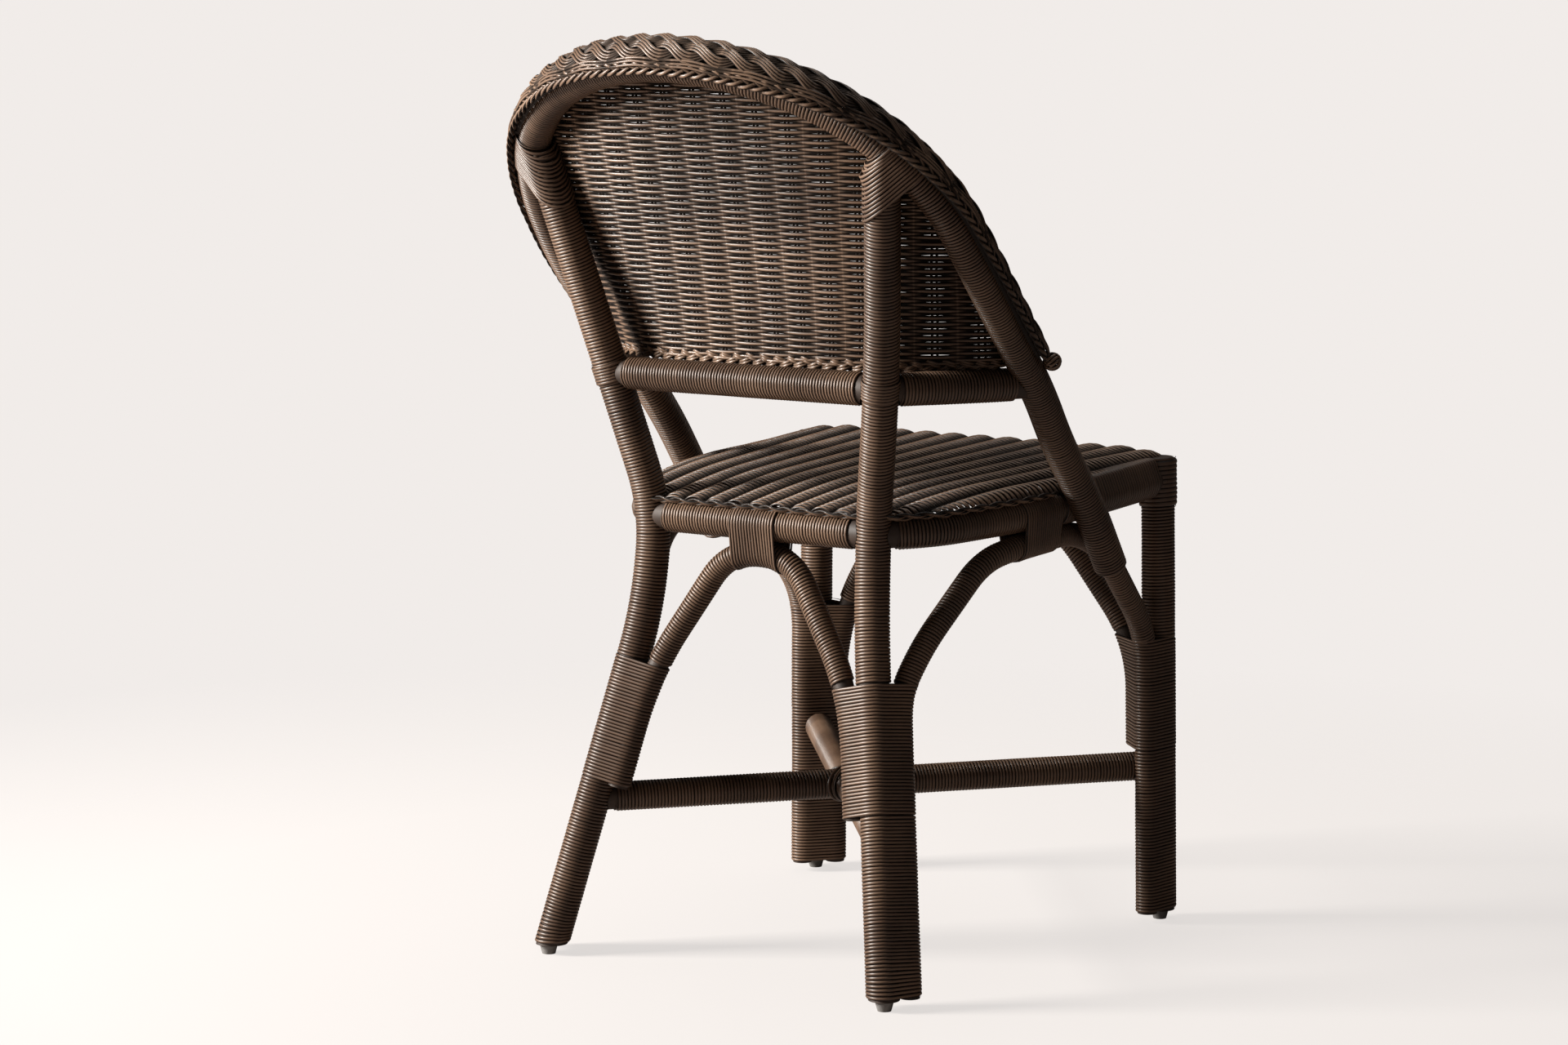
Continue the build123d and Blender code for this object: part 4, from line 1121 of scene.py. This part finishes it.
border = {
    "turns": (34, 38, 52, 72, 92, 102, 106, 108), "footShare": 0.53, "lines": 14, "points": 300,
    "first": -16.0, "last": 122.0, "edgeReach": 0.0188, "fullReach": 0.0252, "edgeShare": 0.16,
    "skinDrop": 0.0026, "linerDrops": (0.0018, 0.0034), "waveLength": 0.0586, "waveSteps": 14,
    "reed": (0.0031, 0.0027), "reedStep": 0.98, "stake": (0.0026, 0.0026), "stakeStep": 0.0293,
    "stakeGap": 0.0036, "stakeSteps": 14, "linerStep": 3, "unevenness": 0.5, "waveLift": 0.0016,
    "bandPhase": 1.2, "bandSeed": 5.0, "turnSeed": 31,
    # Of each band of waves: centre, amplitude, number of strands and lift
    "bands": ((0.42, 0.110, 4, 0.0002), (0.70, 0.105, 4, 0.0004), (0.92, 0.055, 3, -0.0008)),
}
straightBand = {"centre": 0.205, "swing": 0.012, "lift": 0.0006, "wave": 0.0004, "count": 3, "steps": 420,
                "seed": 90.0}


def hoopOffset(i, turn, reach):
    # A place beside the hoop's corner point i, turned from the rear outwards
    (away, rear), angle = halfFrames[i], math.radians(turn)
    return halfPoints[i] + (rear * math.cos(angle) + away * math.sin(angle)) * reach


def borderLine(turnStep, reach):
    half = [hoopOffset(i, turn + turnStep, reach) for i, turn in enumerate(border["turns"])]
    half[-1] = lerp(half[-2], half[-1], border["footShare"])
    line = smoothRoute(flip(half)[::-1] + half[1:])
    return resample(line, np.arange(len(line)), np.linspace(0, len(line) - 1, border["points"]))


def borderSheet(drop=0.0):
    lines = []
    for share in np.linspace(0, 1, border["lines"]):
        edge = min(share, 1 - share) / border["edgeShare"]
        swell = math.sin(min(1.0, edge) * math.pi / 2)
        reach = border["edgeReach"] + (border["fullReach"] - border["edgeReach"]) * swell - drop
        lines.append(borderLine(lerp(border["first"], border["last"], share), reach))
    return list(zip(*lines))[::-1]


def runStrands(name, rows, size, steps, count, seed, values):
    # Waving strands on a border guide, whose normals point away from the hoop
    guide, _ = guideSheet(name + "Guide", rows)
    face = guide.data.polygons[len(rows) // 2 * (len(rows[0]) - 1) + len(rows[0]) // 2]
    centre = np.array(face.center)
    if (centre - hoopLine[nearest(hoopLine, centre)]) @ np.array(face.normal) < 0:
        bpy.data.objects.remove(guide)
        guide, _ = guideSheet(name + "Guide", rows[::-1])
    basic = reedValues(count, steps, size, steps * reedLook["wavingEnds"], seed)
    return bake(guide, name, wavingTree, {**basic, **values})


borderRows = borderSheet()
borderLength = lengthOf([row[len(row) // 2] for row in borderRows])
borderWidth = lengthOf(borderRows[border["points"] // 2])
wavePeriods = borderLength / border["waveLength"]
print("border is", round(borderLength, 3), "long and", round(borderWidth, 4), "across")

shared = {"Spacing": border["reed"][0] * border["reedStep"] / borderWidth, "Periods": wavePeriods,
          "Lift rate": 1.0, "Unevenness": border["unevenness"]}
waves = []
for band, (centre, amplitude, count, lift) in enumerate(border["bands"]):
    for turn in (0, 1):
        waves.append(runStrands(
            f"borderWave{band}{turn}", borderRows, border["reed"], int(wavePeriods * border["waveSteps"]),
            count, border["bandSeed"] * band + border["turnSeed"] * turn,
            {**shared, "Centre": centre, "Amplitude": amplitude, "Lift": lift,
             "Phase": math.pi * turn + band * border["bandPhase"], "Lift wave": border["waveLift"],
             "Lift phase": math.pi / 2}))
waves.append(runStrands(
    "borderBand", borderRows, border["reed"], straightBand["steps"], straightBand["count"],
    straightBand["seed"],
    {**shared, "Centre": straightBand["centre"], "Amplitude": straightBand["swing"], "Phase": 0.0,
     "Lift": straightBand["lift"], "Lift wave": straightBand["wave"], "Lift phase": 0.0}))
borderWeave = join("borderWeave", waves)

skinRows = borderSheet(border["skinDrop"])
crossStakes = []
count = int(borderLength / border["stakeStep"])
for k in range(count):
    for shift in (-0.5, 0.5):
        share = (k + 0.5) / count + shift * border["stakeGap"] / borderLength
        spot = share * (border["points"] - 1)
        low = int(spot)
        line = [lerp(a, b, spot - low) for a, b in zip(skinRows[low], skinRows[low + 1])]
        crossStakes.append(line[1:-1])
borderStakes = strandsAlong("borderStakes", crossStakes, border["stake"], weavingReed, border["stakeSteps"])


def closedTube(name, lines, finish):
    # A closed skin from a ring of points at each place of a line
    rings = np.array(lines)
    count, width = rings.shape[:2]
    faces = [(i * width + j, (i + 1) * width + j, (i + 1) * width + (j + 1) % width,
              i * width + (j + 1) % width)
             for i in range(count - 1) for j in range(width)]
    faces += [tuple(range(width)), tuple(range((count - 1) * width, count * width))[::-1]]
    mesh = bpy.data.meshes.new(name)
    mesh.from_pydata(rings.reshape(-1, 3).tolist(), [], faces)
    tube = bmesh.new()
    tube.from_mesh(mesh)
    bmesh.ops.recalc_face_normals(tube, faces=tube.faces)
    if tube.calc_volume(signed=True) < 0:
        bmesh.ops.reverse_faces(tube, faces=tube.faces)
    tube.to_mesh(mesh)
    tube.free()
    mesh.shade_smooth()
    mesh.materials.append(finish)
    return addObject(name, mesh)


outerRows, innerRows = (borderSheet(border["skinDrop"] + drop) for drop in border["linerDrops"])
linerRings = [list(outerRows[k]) + list(innerRows[k])[::-1]
              for k in range(0, border["points"], border["linerStep"])]
borderLiner = closedTube("borderLiner", linerRings, stakeReed)
print("border woven", len(borderWeave.data.polygons))


# Braid along the border's inner edge

braid = {"reach": 0.0230, "half": 0.0062, "across": (-1.2, -0.6, 0, 0.6, 1.2), "length": 0.0575,
         "steps": 20, "reed": (0.0042, 0.0028), "reedStep": 0.75, "swing": 0.33, "rise": 0.0019,
         "plaits": 5, "seed": 200.0, "lift": 0.0006, "liftRate": 2.0, "unevenness": 0.3}
braidTilt = math.degrees(braid["half"] / braid["reach"])
braidRows = list(zip(*(borderLine(s * braidTilt, braid["reach"]) for s in braid["across"])))
braidWidth = lengthOf(braidRows[border["points"] // 2])
braidPeriods = borderLength / braid["length"]
plaits = [runStrands(
    f"braidStrand{turn}", braidRows, braid["reed"], int(braidPeriods * braid["steps"]), 1,
    braid["seed"] + turn,
    {"Centre": 0.5, "Amplitude": braid["swing"], "Periods": braidPeriods, "Unevenness": braid["unevenness"],
     "Spacing": braid["reed"][0] * braid["reedStep"] / braidWidth, "Phase": turn * math.tau / braid["plaits"],
     "Lift": braid["lift"], "Lift wave": braid["rise"], "Lift rate": braid["liftRate"], "Lift phase": 0.0})
    for turn in range(braid["plaits"])]
borderBraid = join("borderBraid", plaits)

# Twined foot of the panel, on the crossrail
twine = {"height": 0.5768, "half": 0.0068, "reach": 0.93, "points": 160, "length": 0.046,
         "reed": (0.0042, 0.0034), "rise": 0.0020, "steps": 16, "seed": 300.0}
twineSide = twine["reach"] * hoopSideAt(twine["height"])[0]
twineRows = [[panelPlace(x, twine["height"] + s * twine["half"]) for s in across]
             for x in np.linspace(-twineSide, twineSide, twine["points"])]
backTwine = twinedEdge("backTwine", "twine", twineRows, twine)
pieces += [(borderWeave, ["back_border"], "woven_cane"), (borderStakes, ["back_border"], "woven_cane"),
           (borderLiner, ["back_border"], "woven_cane"), (borderBraid, ["border_braid"], "woven_cane"),
           (backTwine, ["back_twine"], "woven_cane")]


# Knots that end the border: a ball of reed wound two ways

knot = {"reach": 0.0240, "turnStep": 15.0, "footShare": 0.66, "radius": 0.0070, "skew": (0.5, 0.6),
        "span": 0.82, "wayLift": 0.0007, "pitch": 0.0030, "reed": (0.0033, 0.0026), "places": 15}
knots = []
lastCorner = len(border["turns"]) - 1
for side in bothSides:
    mirror = np.array([side, 1, 1])
    upper, lower = (hoopOffset(i, border["turns"][i] + knot["turnStep"], knot["reach"]) * mirror
                    for i in (lastCorner - 1, lastCorner))
    centre, run = lerp(upper, lower, knot["footShare"]), unit(lower - upper)
    skew = np.array([knot["skew"][0] * side, knot["skew"][1], 0])
    for way, axis in enumerate((unit(run + skew), unit(run - skew))):
        spots = np.linspace(-knot["span"], knot["span"], knot["places"])
        line = np.array([centre + axis * knot["radius"] * s for s in spots])
        radii = [knot["radius"] * math.sqrt(1 - s * s) + knot["wayLift"] * way for s in spots]
        knots.append(wind(f"knot{way}{side + 1}", poleRings(line, radii), weavingReed, knot["pitch"],
                          Width=knot["reed"][0], Height=knot["reed"][1]))
pieces.append((join("borderKnots", knots), ["border_knots"], "woven_cane"))


# Bindings and lashings over the joints

bindings = {
    "rearHalf": 0.026, "frontHalf": 0.029, "sideStart": 0.345, "sideEnd": 0.485, "places": 9, "steps": 30,
    "tightSteps": 34, "lashLow": 0.547, "lashHigh": 0.5685, "lashPitch": 0.0030,
    "lashCane": (0.0033, 0.0022), "rimSet": 0.006, "rimRadius": 0.0032, "rimGap": 0.0003, "rimStart": 0.497,
    "rimEnd": 0.945, "rimPlaces": 16, "flatPitch": 0.0044, "rimCane": (0.0050, 0.0018),
    "cornerCane": (0.0050, 0.0026), "cornerDrop": 0.027, "cornerLift": 0.0013, "headRise": 0.018,
    "headDrop": 0.042, "headInset": 0.002, "headPlaces": 20, "headPitch": 0.0035, "legShare": 0.15,
    "hoopShare": 0.85, "tipPlaces": 8, "tipPower": 1.4, "crossHalf": 0.005, "crossPlaces": 5,
    "crossLift": 0.0012, "crossPitch": 0.0033, "crossSteps": 40, "sideFrom": 0.02, "hoopFrom": 0.5,
}
woundRail, woundBrace, woundMain = rails["bare"] + cane, braces["bare"] + cane, legs["bare"] + cane


def tie(name, spots, axis, poles, steps=bindings["steps"], lift=wound["centre"], **extra):
    # Winds cane round several poles, square to an axis
    return wind(name, bandRings(spots, axis, poles, lift), windingCane, steps=steps, **extra)


def sized(size):
    return {"Width": size[0], "Height": size[1]}


def railSpots(side, start, end, places):
    fronts, sides = zip(*((middleDepth - p[1], p[0]) for p in sideRail(side)))
    spots = [rails["backFront"] + seatDepth * share for share in np.linspace(start, end, places)]
    return [at(float(np.interp(front, fronts, sides)), front, railHeight(front)) for front in spots]


def headTie(name, side):
    # Binds a rear leg's head to the hoop, and closes on the hoop above the leg's end
    line = rearLegLines[side]
    hoopSide = clip(hoopLine, lambda p: p[0] * side > bindings["sideFrom"] and p[2] > bindings["hoopFrom"])
    up = unit(line[-1] - line[-8])
    i = nearest(hoopSide, line[-1])
    near = hoopSide[i]
    hoopUp = unit(hoopSide[min(i + 3, len(hoopSide) - 1)] - hoopSide[max(i - 3, 0)])
    hoopUp = hoopUp if hoopUp[2] > 0 else -hoopUp
    axis = unit(bindings["legShare"] * up + bindings["hoopShare"] * hoopUp)
    tip = []
    for rise in np.linspace(bindings["headInset"], bindings["headRise"], bindings["tipPlaces"]):
        over = line[-1] + up * rise
        onHoop = near + hoopUp * ((over - near) @ axis) / (hoopUp @ axis)
        tip.append(lerp(over, onHoop, (rise / bindings["headRise"]) ** bindings["tipPower"]))
    reach = np.linspace(-bindings["headDrop"], bindings["headRise"] - bindings["headInset"],
                        bindings["headPlaces"])
    return tie(name, [line[-1] + up * step for step in reach], axis,
               [(np.vstack([line, tip]), woundMain), (hoopSide, hoop["bare"] + cane)], bindings["tightSteps"],
               pitch=bindings["headPitch"])


for end, half, front, height, rail, brace in (
        ("rear", bindings["rearHalf"], rails["backFront"], rails["backHeight"], backRailLine, rearBraceLine),
        ("front", bindings["frontHalf"], legs["frontHead"][1], frontRailHeight, frontRailLine,
         frontBraceLine)):
    spots = [at(x, front, height) for x in np.linspace(-half, half, bindings["places"])]
    piece = tie(f"{end}ApexBinding", spots, (1, 0, 0), [(rail, woundRail), (brace, woundBrace)])
    pieces.append((piece, [f"{end}_apex_binding"], "cane_winding"))

apexes, rims, lashes, heads, corners = [], [], [], [], []
for word, _, side in sideNames:
    railPole = (sideRailLines[side], woundRail)
    spots = railSpots(side, bindings["sideStart"], bindings["sideEnd"], bindings["places"])
    apexes.append(tie(f"apex{word}", spots, (0, -1, 0), [railPole, (sideBraceLines[side], woundBrace)]))

    rise = np.array([0, 0, woundRail + seat["thick"] / 2 + bindings["rimGap"]])
    rimLines = [smoothRoute([p + rise + np.array([way * side * bindings["rimSet"], 0, 0])
                             for p in sideRail(side)]) for way in (-1, 1)]
    spots = railSpots(side, bindings["rimStart"], bindings["rimEnd"], bindings["rimPlaces"])
    rims.append(tie(f"rim{word}", spots, (0, -1, 0), [railPole] + held(rimLines, bindings["rimRadius"]),
                    bindings["tightSteps"], pitch=bindings["flatPitch"], **sized(bindings["rimCane"])))

    upper = clip(rearLegLines[side], lambda p: bindings["lashLow"] < p[2] < bindings["lashHigh"])
    lashes.append(wind(f"lash{word}", poleRings(upper, woundMain + wound["centre"]), windingCane,
                       bindings["lashPitch"], **sized(bindings["lashCane"])))
    heads.append(headTie(f"head{word}", side))

    route = frontLeg(side)
    cornerLine = smoothRoute([legPoint(route, frontRailHeight - bindings["cornerDrop"]), route[1]])
    corners.append(wind(f"corner{word}", poleRings(cornerLine, woundMain + bindings["cornerLift"]),
                        windingCane, bindings["flatPitch"], **sized(bindings["cornerCane"])))
for name, group, node in (
        ("apexBindings", apexes, "side_apex_bindings"), ("rimBindings", rims, "seat_rim_bindings"),
        ("crossrailLashings", lashes, "crossrail_lashings"), ("headBindings", heads, "head_bindings"),
        ("cornerBindings", corners, "corner_bindings")):
    pieces.append((join(name, group), [node], "cane_winding"))

# Lashing where the stretchers cross: cane wound both ways over the crossing
leftLine, rightLine = stretcherLines[1], stretcherLines[-1]
leftRun, rightRun = (unit(line[-1] - line[0]) for line in (leftLine, rightLine))
crossPoint = min(leftLine, key=lambda p: distanceTo(rightLine, p))
crossLashes = []
for way, axis in enumerate((unit(leftRun + rightRun), unit(leftRun - rightRun))):
    spots = [crossPoint + axis * d
             for d in np.linspace(-bindings["crossHalf"], bindings["crossHalf"], bindings["crossPlaces"])]
    crossLashes.append(tie(
        f"crossLash{way}", spots, axis, held((leftLine, rightLine), stretchers["bare"] + cane),
        bindings["crossSteps"], bindings["crossLift"] * (way + 1), pitch=bindings["crossPitch"]))
pieces.append((join("crossingLashing", crossLashes), ["crossing_lashing"], "cane_winding"))
print("bindings wound")


# Bare poles, glides and fixings keep their CAD shape under a finish of their own

def finishOf(name):
    if name == "glides":
        return glidePlastic
    if name in ("glide_nails", "joint_screws", "brace_screws"):
        return fixingSteel
    if any(word in name for word in ("winding", "collar", "binding", "lashing")):
        return windingCane
    if name in ("seat_weave", "back_panel", "back_twine", "back_border", "border_braid", "border_knots"):
        return weavingReed
    return poleBark


for name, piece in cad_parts.items():
    piece.data.materials.clear()
    piece.data.materials.append(finishOf(name))

for piece, nodes, slot in pieces:
    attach(piece, "root")
    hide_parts(*nodes)
print("pieces", len(pieces), "faces", sum(len(piece.data.polygons) for piece, _, _ in pieces))


# Floor, light and backdrop

studio = {
    "backdrop": (0.879, 0.839, 0.815, 1), "floorHalf": 9.0, "floorLow": (0.87, 0.83, 0.806, 1),
    "floorHigh": (0.888, 0.848, 0.824, 1), "floorBounce": (0.3, 0.26, 0.24, 1), "floorGlow": 0.8,
    "fadeFrom": 0.75, "fadeTo": 1.7, "fill": (1.0, 0.93, 0.87, 1), "fillStrength": 0.04,
    # Place, aim, size, power and colour. The camera stands behind on the sitter's right, so the photograph's
    # left is +X and a little -Y here
    "lamps": {
        "keyLamp": ((2.7, 2.25, 1.75), (0, 0, 0.45), (1.1, 1.4), 395, (1.0, 0.955, 0.9)),
        "fillLamp": ((-2.8, 1.2, 2.0), (0, 0, 0.4), (2.5, 2.0), 2.5, (1.0, 0.93, 0.88)),
        "topLamp": ((0.3, -0.6, 3.0), (0, 0, 0.4), (2.2, 2.2), 24, (1.0, 0.96, 0.92)),
    },
}


def makeFloor():
    # To the camera the floor glows like the backdrop, and fades into it away from the chair
    half = studio["floorHalf"]
    mesh = bpy.data.meshes.new("studioFloor")
    corners = [(-half, -half, 0), (half, -half, 0), (half, half, 0), (-half, half, 0)]
    mesh.from_pydata(corners, [], [(0, 1, 2, 3)])
    floor = addObject("studioFloor", mesh)
    material = bpy.data.materials.new("paleFloor")
    graph = emptyGraph(material)
    place = graph.add("ShaderNodeTexCoord").outputs["Object"]
    shade = graph.mix(graph.noise(place, 0.7, 2.0), studio["floorLow"], studio["floorHigh"])
    seen = graph.add("ShaderNodeLightPath").outputs["Is Camera Ray"]
    shader = graph.add("ShaderNodeBsdfPrincipled", {
        "Base Color": graph.mix(seen, studio["floorBounce"], shade), "Roughness": 0.9,
        "Specular IOR Level": 0.1})
    glow = graph.add("ShaderNodeEmission", {"Color": studio["backdrop"], "Strength": 1.0})
    near = graph.add("ShaderNodeMixShader", {0: graph.times(seen, studio["floorGlow"]), 1: shader.outputs[0],
                                             2: glow.outputs[0]})
    far = graph.remap(graph.vec("LENGTH", place), studio["fadeFrom"], studio["fadeTo"])
    clear = graph.add("ShaderNodeBsdfTransparent")
    whole = graph.add("ShaderNodeMixShader", {0: graph.times(seen, far), 1: near.outputs[0],
                                              2: clear.outputs[0]})
    graph.add("ShaderNodeOutputMaterial", {"Surface": whole.outputs[0]})
    mesh.materials.append(material)


def makeWorld():
    world = bpy.data.worlds.new("studioWorld")
    bpy.context.scene.world = world
    graph = emptyGraph(world)
    seen = graph.add("ShaderNodeLightPath").outputs["Is Camera Ray"]
    fill = graph.add("ShaderNodeBackground", {"Color": studio["fill"], "Strength": studio["fillStrength"]})
    backdrop = graph.add("ShaderNodeBackground", {"Color": studio["backdrop"], "Strength": 1.0})
    mixed = graph.add("ShaderNodeMixShader", {0: seen, 1: fill.outputs[0], 2: backdrop.outputs[0]})
    graph.add("ShaderNodeOutputWorld", {"Surface": mixed.outputs[0]})


def makeLamp(name, place, aim, size, power, colour):
    data = bpy.data.lights.new(name, "AREA")
    data.shape = "RECTANGLE"
    data.size, data.size_y = size
    data.energy = power
    data.color = colour
    lamp = addObject(name, data)
    lamp.location = place
    lamp.rotation_euler = (Vector(aim) - Vector(place)).to_track_quat("-Z", "Y").to_euler()


makeFloor()
makeWorld()
for name, values in studio["lamps"].items():
    makeLamp(name, *values)
bpy.context.scene.view_settings.view_transform = "Standard"
print("light set")
